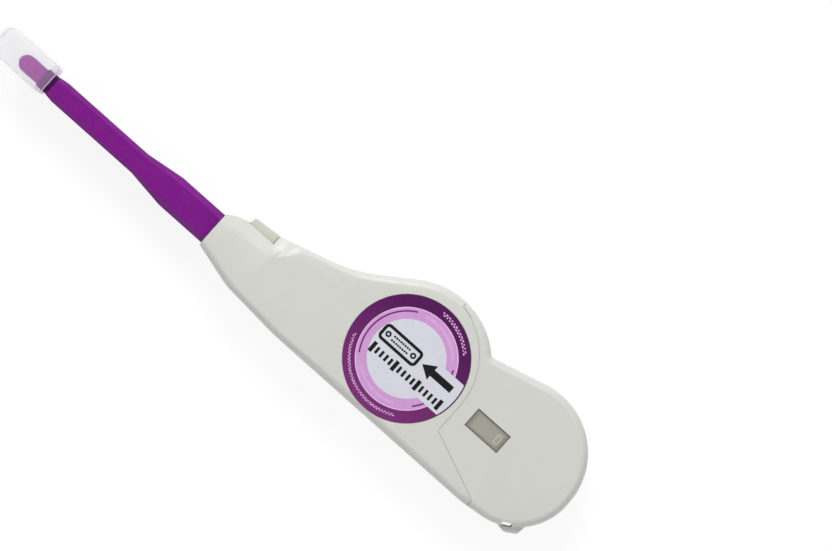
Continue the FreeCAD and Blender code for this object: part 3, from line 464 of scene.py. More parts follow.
@dataclass(frozen=True)
class WovenRibbon(Finish):
    """Tightly woven microfibre cleaning tape.

    Attributes:
        thread: Spacing of its threads in metres.
        turn: Width of a turn that shows in the winding, in threads.
        wound: Whether it is wound, so that its edges show as turns.
        centre: Middle of the winding.
    """

    thread: float = 0.11 * MM
    turn: int = 9
    wound: bool = False
    centre: Triple = (0.0, 0.0, 0.0)

    def build(self) -> bpy.types.Material:
        """Make the material."""
        graph = Graph(self.name)
        shift = graph.add(
            "ShaderNodeMapping",
            {"Vector": graph.place, "Location": tuple(-v for v in self.centre)},
        ).outputs["Vector"]
        if self.wound:
            out = graph.add("ShaderNodeVectorMath", {0: shift}, operation="LENGTH")
            weave = graph.wave(out.outputs["Value"], self.thread * self.turn)
        else:
            parts = graph.add("ShaderNodeSeparateXYZ", {0: shift}).outputs
            warp, weft = (graph.wave(parts[axis], self.thread) for axis in "ZX")
            weave = graph.calc("MULTIPLY", warp, weft)
        fuzz = graph.noise(0.3 * MM, detail=4.0)
        tone = graph.blend(
            graph.between(weave, 0.0, 0.35, -1.0, 1.0), self.colour, shaded(self.colour, 0.82)
        )
        tone = graph.tint(fuzz, 0.2, tone, shaded(self.colour, 0.9))
        cloth = graph.relief(graph.between(weave, 0.0, 1.0, -1.0, 1.0), 0.02 * MM)
        graph.set(Base_Color=tone, Roughness=0.85, Normal=cloth, Sheen_Weight=0.2)
        return graph.material


@dataclass(frozen=True)
class PressedFelt(Finish):
    """Pressed felt with loose fibres."""

    def build(self) -> bpy.types.Material:
        """Make the material."""
        graph = Graph(self.name)
        fibre = graph.noise(0.22 * MM, detail=6.0, roughness=0.7)
        tone = graph.tint(fibre, 1.0, shaded(self.colour, 0.6), shaded(self.colour, 1.3))
        nap = graph.relief(fibre, 0.08 * MM)
        graph.set(Base_Color=tone, Roughness=0.95, Normal=nap, Sheen_Weight=0.5)
        return graph.material


class Shade(Enum):
    """The colours of the cleaner, linear."""

    SHELL = linear(212, 213, 207)
    # Painted shade: the seam tongue's darker tone stands in for the shade deep in the seam.
    SEAM = linear(176, 172, 162)
    BUTTON = linear(211, 211, 199)
    NOZZLE = linear(122, 16, 132)
    # Painted shade on the nozzle's recessed seat at the cap's mouth.
    NOZZLE_SEAT_SHADE = linear(60, 6, 66)
    TIP = linear(172, 36, 170)
    CAP = linear(251, 251, 252)
    WINDOW = linear(206, 203, 190)
    # Painted shade: the darker line where the window pane's edge catches no light.
    WINDOW_EDGE_SHADE = linear(120, 113, 98)
    # Painted shade: the rim inside the window's recess, where its wall shades the pane.
    WINDOW_RIM_SHADE = linear(146, 142, 128)
    MARKER = linear(192, 188, 174)
    # Painted highlight: the bright lavender line on the cap's rim, with the purple showing through.
    CAP_RIM_HIGHLIGHT = linear(236, 208, 238)
    LABEL_RING = linear(82, 2, 86)
    LABEL_LOWER = linear(126, 46, 118)
    LABEL_LILAC = linear(208, 156, 212)
    LABEL_PALE = linear(216, 217, 227)
    LABEL_LINE = linear(242, 196, 240)
    LABEL_ARC = linear(118, 30, 118)
    LABEL_MARK = linear(232, 180, 228)
    INK = linear(12, 10, 18)
    STEEL = (0.62, 0.61, 0.59)
    FRAME = linear(64, 66, 70)
    REEL = linear(226, 227, 224)
    TAPE = linear(240, 239, 232)
    GEAR = linear(236, 232, 214)
    FELT = linear(96, 88, 84)
    HEAD = linear(232, 228, 214)


# ---- Pieces ----


@dataclass
class Piece:
    """One finished piece of the cleaner.

    Attributes:
        thing: Its object, at the origin.
        body: The body that carries it.
        slot: The record's slot for it; not used.
        stands_for: The frame's nodes that it replaces.
    """

    thing: bpy.types.Object
    body: str
    slot: str
    stands_for: tuple[str, ...] = ()


@dataclass
class Frame:
    """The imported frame, with what this script asks of it.

    Attributes:
        finished: The pieces that this script has made.
    """

    loaded: dict[str, Any]
    finished: list[Piece] = field(default_factory=list)

    def low(self, node: str) -> Vector:
        """Lowest corner of a node."""
        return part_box(node)[0]

    def high(self, node: str) -> Vector:
        """Highest corner of a node."""
        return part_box(node)[1]

    def centre(self, node: str) -> Vector:
        """Middle of a node."""
        return (self.low(node) + self.high(node)) / 2

    def extent(self, node: str) -> Vector:
        """Size of a node along each axis."""
        return self.high(node) - self.low(node)

    def coat(self, material: bpy.types.Material, *nodes: str) -> None:
        """Give nodes of the frame their finish.

        Args:
            material: The finish.
            nodes: The nodes that get it.
        """
        for node in nodes:
            mesh = self.loaded["nodes"][node].data
            mesh.materials.clear()
            mesh.materials.append(material)
            LOG.info("coated %s with %s", node, material.name)

    def keep(self, piece: Piece) -> None:
        """Fasten a finished piece to the body that carries it.

        Args:
            piece: The piece.
        """
        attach(piece.thing, piece.body)
        if piece.stands_for:
            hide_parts(*piece.stands_for)
        self.finished.append(piece)
        faces = len(piece.thing.data.polygons)
        LOG.info("made %s on %s, %d faces", piece.thing.name, piece.body, faces)

    def fasten(
        self, name: str, mesh: bmesh.types.BMesh, material: bpy.types.Material, slot: str
    ) -> None:
        """Finish a mesh and fasten it to the housing.

        Args:
            name: Name of the new piece.
            mesh: The mesh, which is used up.
            material: Its finish.
            slot: The record's slot, kept with the piece.
        """
        self.keep(Piece(finish_mesh(name, mesh, material), "housing", slot))

    def dress(
        self, node: str, body: str, slot: str, material: bpy.types.Material, edge: float = 0.0
    ) -> bpy.types.Object:
        """Coat a node and let a smooth copy stand for it.

        Args:
            node: The node to dress.
            body: The body that carries it.
            slot: The record's slot, kept with the piece.
            material: Its finish.
            edge: Width of the small round that its sharp edges get, 0 for none.

        Returns:
            The copy.
        """
        self.coat(material, node)
        copy = softened(self.loaded["nodes"][node].data, node, material, edge)
        self.keep(Piece(copy, body, slot, (node,)))
        return copy


def new_object(name: str, data: bpy.types.ID) -> bpy.types.Object:
    """Put a mesh, a lamp or a camera into the scene as an object at the origin.

    Args:
        name: Its name.
        data: The mesh, lamp or camera.

    Returns:
        The object.
    """
    thing = bpy.data.objects.new(name, data)
    bpy.context.scene.collection.objects.link(thing)
    return thing


def rectangle(low: Pair, high: Pair) -> list[Pair]:
    """Outline of a rectangle between two corners, anticlockwise."""
    return [low, (high[0], low[1]), high, (low[0], high[1])]


def arc(middle: Sequence[float], radius: float, first: float, last: float, steps: int) -> list[Pair]:
    """Points on an arc from its first angle to its last.

    Args:
        middle: Its centre.
        radius: Its radius.
        first: The angle that it starts at.
        last: The angle that it ends at.
        steps: Straight stretches in it.

    Returns:
        The points.
    """
    turns = [first + (last - first) * step / steps for step in range(steps + 1)]
    return [(middle[0] + radius * math.cos(a), middle[1] + radius * math.sin(a)) for a in turns]


def wrap(mesh: bmesh.types.BMesh, pairs: Iterable[tuple[list, list]]) -> None:
    """Join each pair of neighbouring rows of four corners with faces.

    Args:
        mesh: The mesh that gets them.
        pairs: The pairs of rows.
    """
    for here, there in pairs:
        for corner in range(4):
            after = (corner + 1) % 4
            mesh.faces.new((here[corner], here[after], there[after], there[corner]))


def plate(
    mesh: bmesh.types.BMesh, outline: Sequence[Pair], floor: float, top: float
) -> None:
    """Add a flat closed plate.

    Args:
        mesh: The mesh that gets it.
        outline: Its corners in turn, anticlockwise from above.
        floor: Height of its underside.
        top: Height of its face.
    """
    lower = [mesh.verts.new((x, y, floor)) for x, y in outline]
    upper = [mesh.verts.new((x, y, top)) for x, y in outline]
    mesh.faces.new(list(reversed(lower)))
    mesh.faces.new(upper)
    count = len(outline)
    for index in range(count):
        after = (index + 1) % count
        mesh.faces.new((lower[index], lower[after], upper[after], upper[index]))


def ring_plate(
    mesh: bmesh.types.BMesh,
    middle: Vector,
    radii: Pair,
    heights: Pair,
    span: Pair = (0.0, math.tau),
    step: float = ARC_STEP,
) -> None:
    """Add a flat closed ring, or a stretch of one.

    Args:
        mesh: The mesh that gets it.
        middle: Its centre.
        radii: Its inner and outer radius.
        heights: Height of its underside and of its face.
        span: The angles that it starts and ends at.
        step: About how far apart its corners are.
    """
    start, end = span
    count = max(2, round((end - start) / step))
    closed = end - start > math.tau - 1e-6
    (inner, outer), (floor, top) = radii, heights
    section = ((inner, floor), (outer, floor), (outer, top), (inner, top))
    rows = []
    for index in range(count if closed else count + 1):
        angle = start + (end - start) * index / count
        across = Vector((math.cos(angle), math.sin(angle)))
        x, y = across
        rows.append([mesh.verts.new((middle.x + x * r, middle.y + y * r, z)) for r, z in section])
    wrap(mesh, zip(rows, rows[1:] + (rows[:1] if closed else [])))
    if not closed:
        mesh.faces.new(list(reversed(rows[0])))
        mesh.faces.new(rows[-1])


def frame_plate(
    mesh: bmesh.types.BMesh,
    middle: Vector,
    outer: Sequence[Pair],
    inner: Sequence[Pair],
    heights: Pair,
) -> None:
    """Add a flat closed band between two outlines about one middle.

    Args:
        mesh: The mesh that gets it.
        middle: The middle of both outlines.
        outer: Corners of the outer outline, anticlockwise.
        inner: As many corners of the inner one.
        heights: Height of its underside and of its face.
    """
    floor, top = heights
    rows = []
    for (ox, oy), (ix, iy) in zip(outer, inner):
        section = ((ix, iy, floor), (ox, oy, floor), (ox, oy, top), (ix, iy, top))
        rows.append([mesh.verts.new((middle.x + x, middle.y + y, z)) for x, y, z in section])
    wrap(mesh, zip(rows, rows[1:] + rows[:1]))


def round_corners(width: float, height: float, radius: float, steps: int = 6) -> list[Pair]:
    """Outline of a rectangle with round corners, about its middle.

    Args:
        width: Its width.
        height: Its height.
        radius: Radius of its corners.
        steps: Straight stretches in each corner.

    Returns:
        Its corners in turn, anticlockwise.
    """
    outline: list[Pair] = []
    for quarter, (side, end) in enumerate(((1, 1), (-1, 1), (-1, -1), (1, -1))):
        middle = (side * (width / 2 - radius), end * (height / 2 - radius))
        first = quarter * math.pi / 2
        outline += arc(middle, radius, first, first + math.pi / 2, steps)
    return outline


def finish_mesh(
    name: str, mesh: bmesh.types.BMesh, material: bpy.types.Material
) -> bpy.types.Object:
    """Close a mesh, turn its faces outwards and make it an object.

    Args:
        name: Name of the new object.
        mesh: The mesh, which is used up.
        material: Its finish.

    Returns:
        The object, at the origin.
    """
    bmesh.ops.remove_doubles(mesh, verts=mesh.verts, dist=MERGE)
    bmesh.ops.recalc_face_normals(mesh, faces=mesh.faces)
    data = bpy.data.meshes.new(name)
    mesh.to_mesh(data)
    mesh.free()
    data.materials.append(material)
    return new_object(name, data)


def softened(
    source: bpy.types.Mesh, node: str, material: bpy.types.Material, edge: float
) -> bpy.types.Object:
    """Copy a node's mesh with its banded rounds shaded as one round.

    Args:
        source: The mesh to copy, which stays as it is.
        node: The node that it belongs to.
        material: The copy's finish.
        edge: Width of the small round that its sharp edges get, 0 for none.

    Returns:
        The copy, at the origin.
    """
    mesh = bmesh.new()
    mesh.from_mesh(source)
    bmesh.ops.remove_doubles(mesh, verts=mesh.verts, dist=MERGE)
    if edge:
        lines, points = mesh.edges, mesh.verts
        bmesh.ops.dissolve_limit(mesh, angle_limit=FLAT_ANGLE, verts=points, edges=lines)
    for line in mesh.edges:
        line.smooth = line.calc_face_angle(math.pi) < SHARP_ANGLE
    for face in mesh.faces:
        face.smooth = True
    data = bpy.data.meshes.new(node + "_draft")
    mesh.to_mesh(data)
    mesh.free()
    stale = data.attributes.get("custom_normal")
    if stale is not None:
        data.attributes.remove(stale)
    draft = new_object(node + "_draft", data)
    if edge:
        bevel = draft.modifiers.new("edges", "BEVEL")
        bevel.width = edge
        bevel.segments = 2
        bevel.limit_method = "ANGLE"
        bevel.angle_limit = SHARP_ANGLE
    weigh = draft.modifiers.new("normals", "WEIGHTED_NORMAL")
    weigh.keep_sharp = True
    graph = bpy.context.evaluated_depsgraph_get()
    smooth = bpy.data.meshes.new_from_object(draft.evaluated_get(graph))
    smooth.name = node + "_skin"
    bpy.data.objects.remove(draft)
    smooth.materials.clear()
    smooth.materials.append(material)
    return new_object(node + "_skin", smooth)


# ---- Geometry Nodes ----


class Tree(NodeTree):
    """One Geometry Nodes tree with named inputs."""

    def __init__(self, name: str) -> None:
        """Start an empty tree."""
        self.tree = bpy.data.node_groups.new(name, "GeometryNodeTree")
        kind = "NodeSocketGeometry"
        self.tree.interface.new_socket("Geometry", in_out="OUTPUT", socket_type=kind)
        self.entry = self.tree.nodes.new("NodeGroupInput")
        self.exit = self.tree.nodes.new("NodeGroupOutput")

    def sizes(self, *names: str, kind: str = "Float") -> list[bpy.types.NodeSocket]:
        """Add named inputs of one kind and return them.

        Args:
            names: Their names.
            kind: What they hold, as in the name of its socket.

        Returns:
            The inputs in turn.
        """
        for name in names:
            self.tree.interface.new_socket(name, in_out="INPUT", socket_type="NodeSocket" + kind)
        return [self.entry.outputs[name] for name in names]

    def times(self, first: Any, *others: Any) -> bpy.types.NodeSocket:
        """The product of its arguments.

        Args:
            first: The first factor.
            others: The other ones.

        Returns:
            The product.
        """
        for other in others:
            first = self.calc("MULTIPLY", first, other)
        return first

    def circle(self, radius: Any, angle: Any) -> list[bpy.types.NodeSocket]:
        """Both coordinates of a point on a circle."""
        return [self.times(radius, self.calc(wave, angle)) for wave in ("COSINE", "SINE")]

    def vector(self, x: Any = 0.0, y: Any = 0.0, z: Any = 0.0) -> bpy.types.NodeSocket:
        """Three numbers as one vector."""
        return self.add("ShaderNodeCombineXYZ", {0: x, 1: y, 2: z}).outputs[0]

    def close(self, geometry: bpy.types.NodeSocket) -> None:
        """End the tree with real geometry in its material.

        Args:
            geometry: What the tree has made.
        """
        (material,) = self.sizes("Material", kind="Material")
        real = self.add("GeometryNodeRealizeInstances", {0: geometry}).outputs[0]
        dressed = self.add("GeometryNodeSetMaterial", {0: real, "Material": material})
        self.tree.links.new(dressed.outputs[0], self.exit.inputs[0])


def grow(tree: Tree, name: str, sizes: dict[str, Any]) -> bpy.types.Object:
    """Run a tree with its sizes and keep what it makes as a plain mesh.

    Args:
        tree: The tree to run.
        name: Name of the new object.
        sizes: What goes into each of its named inputs.

    Returns:
        The object, with no modifier left on it.
    """
    holder = new_object(name + "_holder", bpy.data.meshes.new(name + "_holder"))
    modifier = holder.modifiers.new("grow", "NODES")
    modifier.node_group = tree.tree
    for item in tree.tree.interface.items_tree:
        if item.in_out == "INPUT":
            modifier[item.identifier] = sizes[item.name]
    graph = bpy.context.evaluated_depsgraph_get()
    mesh = bpy.data.meshes.new_from_object(holder.evaluated_get(graph))
    mesh.name = name
    bpy.data.objects.remove(holder)
    return new_object(name, mesh)


def coil_tree() -> Tree:
    """A compression spring along X, with its end turns wound closer.

    Returns:
        The tree.
    """
    tree = Tree("coil")
    (start,) = tree.sizes("Start", kind="Vector")
    length, radius, wire, turns = tree.sizes("Length", "Radius", "Wire", "Turns")
    (steps,) = tree.sizes("Steps", kind="Int")
    line = tree.add("GeometryNodeCurvePrimitiveLine")
    count = tree.calc("ADD", tree.times(turns, steps), 1.0)
    fine = tree.add("GeometryNodeResampleCurve", {"Curve": line.outputs[0], "Count": count})
    share = tree.add("GeometryNodeSplineParameter").outputs["Factor"]
    angle = tree.times(share, turns, math.tau)
    closed = tree.times(wire, turns, share)
    dead = tree.calc("DIVIDE", 1.0, turns)
    spread = tree.add(
        "ShaderNodeMapRange",
        {"Value": share, "From Min": dead, "From Max": tree.calc("SUBTRACT", 1.0, dead)},
        interpolation_type="SMOOTHSTEP",
    ).outputs["Result"]
    solid = tree.times(wire, tree.calc("ADD", turns, 1.0))
    free = tree.times(tree.calc("SUBTRACT", length, solid), spread)
    half_wire = tree.times(wire, 0.5)
    along = tree.calc("ADD", tree.calc("ADD", closed, free), half_wire)
    place = tree.vector(along, *tree.circle(radius, angle))
    wound = tree.add(
        "GeometryNodeSetPosition", {"Geometry": fine.outputs[0], "Position": place, "Offset": start}
    )
    section = tree.add("GeometryNodeCurvePrimitiveCircle", {"Resolution": 10, "Radius": half_wire})
    tube = tree.add(
        "GeometryNodeCurveToMesh",
        {"Curve": wound.outputs[0], "Profile Curve": section.outputs[0], "Fill Caps": True},
    )
    smooth = tree.add("GeometryNodeSetShadeSmooth", {0: tube.outputs[0]})
    tree.close(smooth.outputs[0])
    return tree


def arc_print_tree() -> Tree:
    """Fine print along an arc, as short dashes of changing length in two staggered rows.

    Returns:
        The tree.
    """
    tree = Tree("arc_print")
    (middle,) = tree.sizes("Middle", kind="Vector")
    (count,) = tree.sizes("Count", kind="Int")
    radius, first, sweep = tree.sizes("Radius", "First Angle", "Sweep")
    length, width, thickness = tree.sizes("Length", "Width", "Thickness")
    points = tree.add("GeometryNodePoints", {"Count": count})
    index = tree.add("GeometryNodeInputIndex").outputs[0]
    share = tree.calc("DIVIDE", index, tree.calc("SUBTRACT", count, 1.0))
    angle = tree.calc("ADD", first, tree.times(sweep, share))
    row = tree.calc("SUBTRACT", tree.calc("MODULO", index, 2.0), 0.5)
    reach = tree.calc("ADD", radius, tree.times(row, tree.times(width, 1.5)))
    place = tree.vector(*tree.circle(reach, angle))
    set_out = tree.add(
        "GeometryNodeSetPosition", {"Geometry": points.outputs[0], "Position": place, "Offset": middle}
    )
    mark = tree.add("GeometryNodeMeshCube", {"Size": tree.vector(width, length, thickness)})
    chance = tree.add("FunctionNodeRandomValue", {2: 0.45, 3: 1.0, "Seed": 7}).outputs[1]
    placed = tree.add(
        "GeometryNodeInstanceOnPoints",
        {
            "Points": set_out.outputs[0],
            "Instance": mark.outputs[0],
            "Rotation": tree.vector(0.0, 0.0, angle),
            "Scale": tree.vector(1.0, chance, 1.0),
        },
    )
    tree.close(placed.outputs[0])
    return tree


def dot_rows_tree() -> Tree:
    """Rows of round dots, as the fibres in the face of a ferrule.

    Returns:
        The tree.
    """
    tree = Tree("dot_rows")
    (middle,) = tree.sizes("Middle", kind="Vector")
    across, rows = tree.sizes("Across", "Rows", kind="Int")
    pitch, row_pitch = tree.sizes("Pitch", "Row Pitch")
    radius, thickness = tree.sizes("Radius", "Thickness")
    width = tree.times(pitch, tree.calc("SUBTRACT", across, 1.0))
    height = tree.times(row_pitch, tree.calc("SUBTRACT", rows, 1.0))
    grid = tree.add(
        "GeometryNodeMeshGrid",
        {"Size X": width, "Size Y": height, "Vertices X": across, "Vertices Y": rows},
    )
    moved = tree.add("GeometryNodeTransform", {"Geometry": grid.outputs[0], "Translation": middle})
    disc = {"Vertices": 20, "Radius": radius, "Depth": thickness}
    dot = tree.add("GeometryNodeMeshCylinder", disc)
    placed = tree.add(
        "GeometryNodeInstanceOnPoints", {"Points": moved.outputs[0], "Instance": dot.outputs[0]}
    )
    tree.close(placed.outputs[0])
    return tree


# ---- Sub-assemblies ----


@dataclass
class Shells:
    """The three mouldings of the housing.

    Attributes:
        frame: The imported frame.
        nodes: The mouldings' names.
        seam_middle: Centre of the seam's arc, from the label's middle.
        seam_radius: Radius of that arc.
        seam_hook: Angle at which the arc meets the rim.
        seam_steps: Straight stretches that the arc is made of.
        seam_low: Where the seam's straight part ends.
        seam_foot: Where the seam meets the lower edge.
        tongue_width: Width of the rear moulding's tongue under the seam.
        tongue_drop: How far the tongue lies below the label face.
        tongue_depth: Its thickness.
        crease: Two points of the thumb scoop's crease, from the mouth's end.
        fall: How far the scoop falls for each unit across it.
        crease_bend: How far the crease turns inwards after its second point.
        web_ends: Distance of the web's ends from the shell's end and from that point.
        web_sides: Where the web starts and ends across the cleaner.
        web_depth: The web's thickness.
        web_sink: How far it stays below the slope.
    """

    frame: Frame
    nodes: tuple[str, ...] = ("base_shell", "front_shell", "rear_shell")
    seam_middle: Pair = (-2.2 * MM, 0.0)
    seam_radius: float = 24.2 * MM
    seam_hook: float = math.radians(72)
    seam_steps: int = 12
    seam_low: Pair = (22.0 * MM, -10.2 * MM)
    seam_foot: Pair = (44.2 * MM, -19.3 * MM)
    tongue_width: float = 0.9 * MM
    tongue_drop: float = 0.22 * MM
    tongue_depth: float = 0.5 * MM
    crease: tuple[Pair, ...] = ((-72.6 * MM, -7.2 * MM), (-64.2 * MM, -6.6 * MM))
    fall: float = 0.65
    crease_bend: float = 0.14
    web_ends: Pair = (1.5 * MM, 3.6 * MM)
    web_sides: Pair = (-5.1 * MM, -3.85 * MM)
    web_depth: float = 0.55 * MM
    web_sink: float = 0.012 * MM

    def build(self) -> None:
        """Dress the mouldings in the same textured plastic."""
        skin = MouldedPlastic("shell_plastic", Shade.SHELL.value, mottle=0.012).build()
        for node in self.nodes:
            self.frame.dress(node, "housing", "shell", skin)
        self.fit_tongue()
        self.line_scoop(skin)

    def fit_tongue(self) -> None:
        """The rear moulding's tongue, which closes the seam from below, coloured darker with painted
        shade where it lies deep in the seam.
        """
        bend = arc(self.seam_middle, self.seam_radius, self.seam_hook, 0.0, self.seam_steps)
        line = [Vector(point) for point in (*bend, self.seam_low, self.seam_foot)]
        left, right = [], []
        for index, point in enumerate(line):
            ahead = line[min(index + 1, len(line) - 1)] - line[max(index - 1, 0)]
            across = Vector((-ahead.y, ahead.x)).normalized() * self.tongue_width / 2
            left.append(tuple(point + across))
            right.append(tuple(point - across))
        top = self.frame.high("front_shell").z - self.tongue_drop
        mesh = bmesh.new()
        plate(mesh, right + left[::-1], top - self.tongue_depth, top)
        # Painted shade: the tongue is darker than the shells because it lies in the seam's shade.
        plastic = MouldedPlastic("seam_tongue_shade", Shade.SEAM.value, mottle=0.01).build()
        self.frame.fasten("seam_tongue", mesh, plastic, "shell")

    def crease_y(self, x: float) -> float:
        """Where the scoop's crease runs at a place along the cleaner.

        Args:
            x: The place.

        Returns:
            The crease's place across the cleaner.
        """
        (first_x, first_y), (last_x, last_y) = self.crease
        if x > last_x:
            return last_y + (x - last_x) * self.crease_bend
        return first_y + (last_y - first_y) * (x - first_x) / (last_x - first_x)

    def line_scoop(self, skin: bpy.types.Material) -> None:
        """The web under the scoop's front end, flush with its slope.

        Args:
            skin: The shells' finish.
        """
        top = self.frame.high("front_shell").z - self.web_sink
        front = self.frame.low("front_shell").x + self.web_ends[0]
        rear = self.crease[1][0] + self.web_ends[1]
        mesh = bmesh.new()
        low, high = self.web_sides
        plate(mesh, rectangle((front, low), (rear, high)), 0.0, self.web_depth)
        for corner in mesh.verts:
            slope = top - self.fall * (corner.co.y - self.crease_y(corner.co.x))
            corner.co.z += slope - self.web_depth
        self.frame.fasten("scoop_web", mesh, skin, "shell")


@dataclass
class LabelFace:
    """The printed film of the round label, layer on layer.

    The print is generic: rings, fine print, the face of a ferrule, an arrow and a gauge.

    Attributes:
        frame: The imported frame.
        layer: Thickness of a layer of ink.
        lilac_radius: Outer radius of the lilac ring.
        line_width: Width of its bright edge.
        arc_radius: Radius of the dark arcs on it.
        arc_width: Their width.
        arc_spans: The degrees that each arc starts and ends at.
        pale_radius: Radius of the pale middle.
        band: Lower and upper side of its band to the rear edge.
        edge_inset: How far that band ends from the label's edge.
        face_size: Width and height of the ferrule's face.
        face_centre: Its middle, from the label's.
        face_round: Radius of its corners.
        border: Width of its outline.
        pin_inset: Distance of its pins from its ends.
        pin_radii: Inner and outer radius of a pin.
        fibres: Fibres in a row, and rows.
        fibre_pitch: Spacing of the fibres and of the rows.
        fibre_radius: Radius of a fibre.
        arrow_gap: Distance of the arrow's tip from the face.
        arrow_length: Length of the arrow.
        arrow_head: Length of its head and half its width.
        arrow_shaft: Half the width of its shaft.
        gauge_start: Middle of the gauge's first bar, from the label's.
        gauge_pitch: Spacing of its bars.
        bars: How many bars it has.
        bar_group: One in so many is larger.
        bar_size: Width and height of a bar.
        large_bar: Width and height of a larger one.
        dash_length: Longest dash of the fine print.
    """

    frame: Frame
    layer: float = 0.012 * MM
    lilac_radius: float = 16.1 * MM
    line_width: float = 0.28 * MM
    arc_radius: float = 14.85 * MM
    arc_width: float = 0.5 * MM
    arc_spans: tuple[Pair, ...] = ((-42, 28), (118, 214))
    pale_radius: float = 12.4 * MM
    band: Pair = (-6.8 * MM, 5.6 * MM)
    edge_inset: float = 0.35 * MM
    face_size: Pair = (15.2 * MM, 5.8 * MM)
    face_centre: Pair = (-4.2 * MM, 2.0 * MM)
    face_round: float = 1.6 * MM
    border: float = 1.0 * MM
    pin_inset: float = 2.5 * MM
    pin_radii: Pair = (0.4 * MM, 1.0 * MM)
    fibres: tuple[int, int] = (8, 2)
    fibre_pitch: Pair = (0.86 * MM, 1.5 * MM)
    fibre_radius: float = 0.36 * MM
    arrow_gap: float = 1.3 * MM
    arrow_length: float = 12.2 * MM
    arrow_head: Pair = (4.2 * MM, 2.7 * MM)
    arrow_shaft: float = 1.15 * MM
    gauge_start: Pair = (-10.4 * MM, -4.1 * MM)
    gauge_pitch: float = 1.82 * MM
    bars: int = 16
    bar_group: int = 5
    bar_size: Pair = (0.9 * MM, 2.3 * MM)
    large_bar: Pair = (1.3 * MM, 3.6 * MM)
    dash_length: float = 0.9 * MM

    def __post_init__(self) -> None:
        """Find the middle, the radius and the height of the label's film."""
        self.middle = self.frame.centre("label_disc")
        self.radius = self.frame.extent("label_disc").y / 2
        self.height = self.frame.high("label_disc").z

    def level(self, layers: int) -> Pair:
        """Heights of the underside and the face of a layer of print."""
        floor = self.height + (layers - 1) * self.layer
        return floor - 0.5 * self.layer, floor + self.layer

    def stamp(
        self, tree: Tree, name: str, spot: Pair, layer: int, ink: bpy.types.Material, **sizes: Any
    ) -> None:
        """Grow a layer of print from its tree and fasten it.

        Args:
            tree: The tree that makes it.
            name: Its name.
            spot: Its middle.
            layer: Which layer it is.
            ink: Its ink.
            sizes: The tree's other inputs, named with _ for a space.
        """
        floor, top = self.level(layer)
        inputs = {size.replace("_", " "): value for size, value in sizes.items()}
        inputs.update(Middle=(*spot, (floor + top) / 2), Thickness=top - floor, Material=ink)
        self.frame.keep(Piece(grow(tree, name, inputs), "housing", "label"))

    def build(self) -> None:
        """Print the label."""
        film = PrintedInk("label_film", Shade.LABEL_RING.value, Shade.LABEL_LOWER.value).build()
        self.frame.coat(film, "label_disc")
        self.print_rings()
        self.print_centre()
        self.print_pictogram()
        self.print_marks()

    def print_rings(self) -> None:
        """The lilac ring with its bright edge and its dark arcs."""
        whole = ((0, 360),)
        outer, half = self.lilac_radius, self.arc_width / 2
        lilac = (self.pale_radius - MM, outer)
        line = (outer - self.line_width, outer)
        arcs = (self.arc_radius - half, self.arc_radius + half)
        for name, ink, shade, radii, layer, spans in (
            ("label_lilac_ring", "label_lilac", Shade.LABEL_LILAC, lilac, 1, whole),
            ("label_bright_line", "label_line", Shade.LABEL_LINE, line, 2, whole),
            ("label_arcs", "label_arc", Shade.LABEL_ARC, arcs, 2, self.arc_spans),
        ):
            mesh = bmesh.new()
            for first, last in spans:
                span = (math.radians(first), math.radians(last))
                ring_plate(mesh, self.middle, radii, self.level(layer), span)
            self.frame.fasten(name, mesh, PrintedInk(ink, shade.value).build(), "label")

    def print_centre(self) -> None:
        """The pale middle and its band to the rear edge."""
        outer = self.radius - self.edge_inset
        low, high = (math.asin(side / outer) for side in self.band)
        inner_low, inner_high = (math.asin(side / self.pale_radius) for side in self.band)
        outline: list[Pair] = []
        for radius, first, last in (
            (outer, low, high),
            (self.pale_radius, inner_high, inner_low + math.tau),
        ):
            outline += arc(self.middle, radius, first, last, round((last - first) / ARC_STEP))
        mesh = bmesh.new()
        plate(mesh, outline, *self.level(3))
        ink = PrintedInk("label_pale", Shade.LABEL_PALE.value).build()
        self.frame.fasten("label_pale_field", mesh, ink, "label")

    def print_pictogram(self) -> None:
        """A ferrule's face with its fibres, an arrow to it and a gauge of bars."""
        ink = PrintedInk("label_ink", Shade.INK.value).build()
        x = self.middle.x + self.face_centre[0]
        y = self.middle.y + self.face_centre[1]
        width, height = self.face_size
        border, levels = self.border, self.level(4)
        mesh = bmesh.new()
        outer = round_corners(width, height, self.face_round)
        inner = round_corners(width - 2 * border, height - 2 * border, self.face_round - border)
        frame_plate(mesh, Vector((x, y, 0)), outer, inner, levels)
        for side in (-1, 1):
            pin = Vector((x + side * (width / 2 - self.pin_inset), y, 0))
            ring_plate(mesh, pin, self.pin_radii, levels, step=5 * ARC_STEP)
        self.arrow(mesh, (x + width / 2 + self.arrow_gap, y), levels)
        self.frame.fasten("label_pictogram", mesh, ink, "label")
        across, rows = self.fibres
        pitch, row_pitch = self.fibre_pitch
        sizes = {"Across": across, "Rows": rows, "Pitch": pitch, "Row_Pitch": row_pitch}
        sizes["Radius"] = self.fibre_radius
        self.stamp(dot_rows_tree(), "label_fibres", (x, y), 4, ink, **sizes)
        self.gauge(ink, levels)

    def arrow(self, mesh: bmesh.types.BMesh, tip: Pair, levels: Pair) -> None:
        """Add a bold arrow that points at the ferrule's face.

        Args:
            mesh: The mesh that gets it.
            tip: Where its tip is.
            levels: Height of its underside and of its face.
        """
        x, y = tip
        length, wide = self.arrow_head
        neck, tail, half = x + length, x + self.arrow_length, self.arrow_shaft
        lower = [(x, y), (neck, y - wide), (neck, y - half), (tail, y - half)]
        upper = [(tail, y + half), (neck, y + half), (neck, y + wide)]
        plate(mesh, lower + upper, *levels)

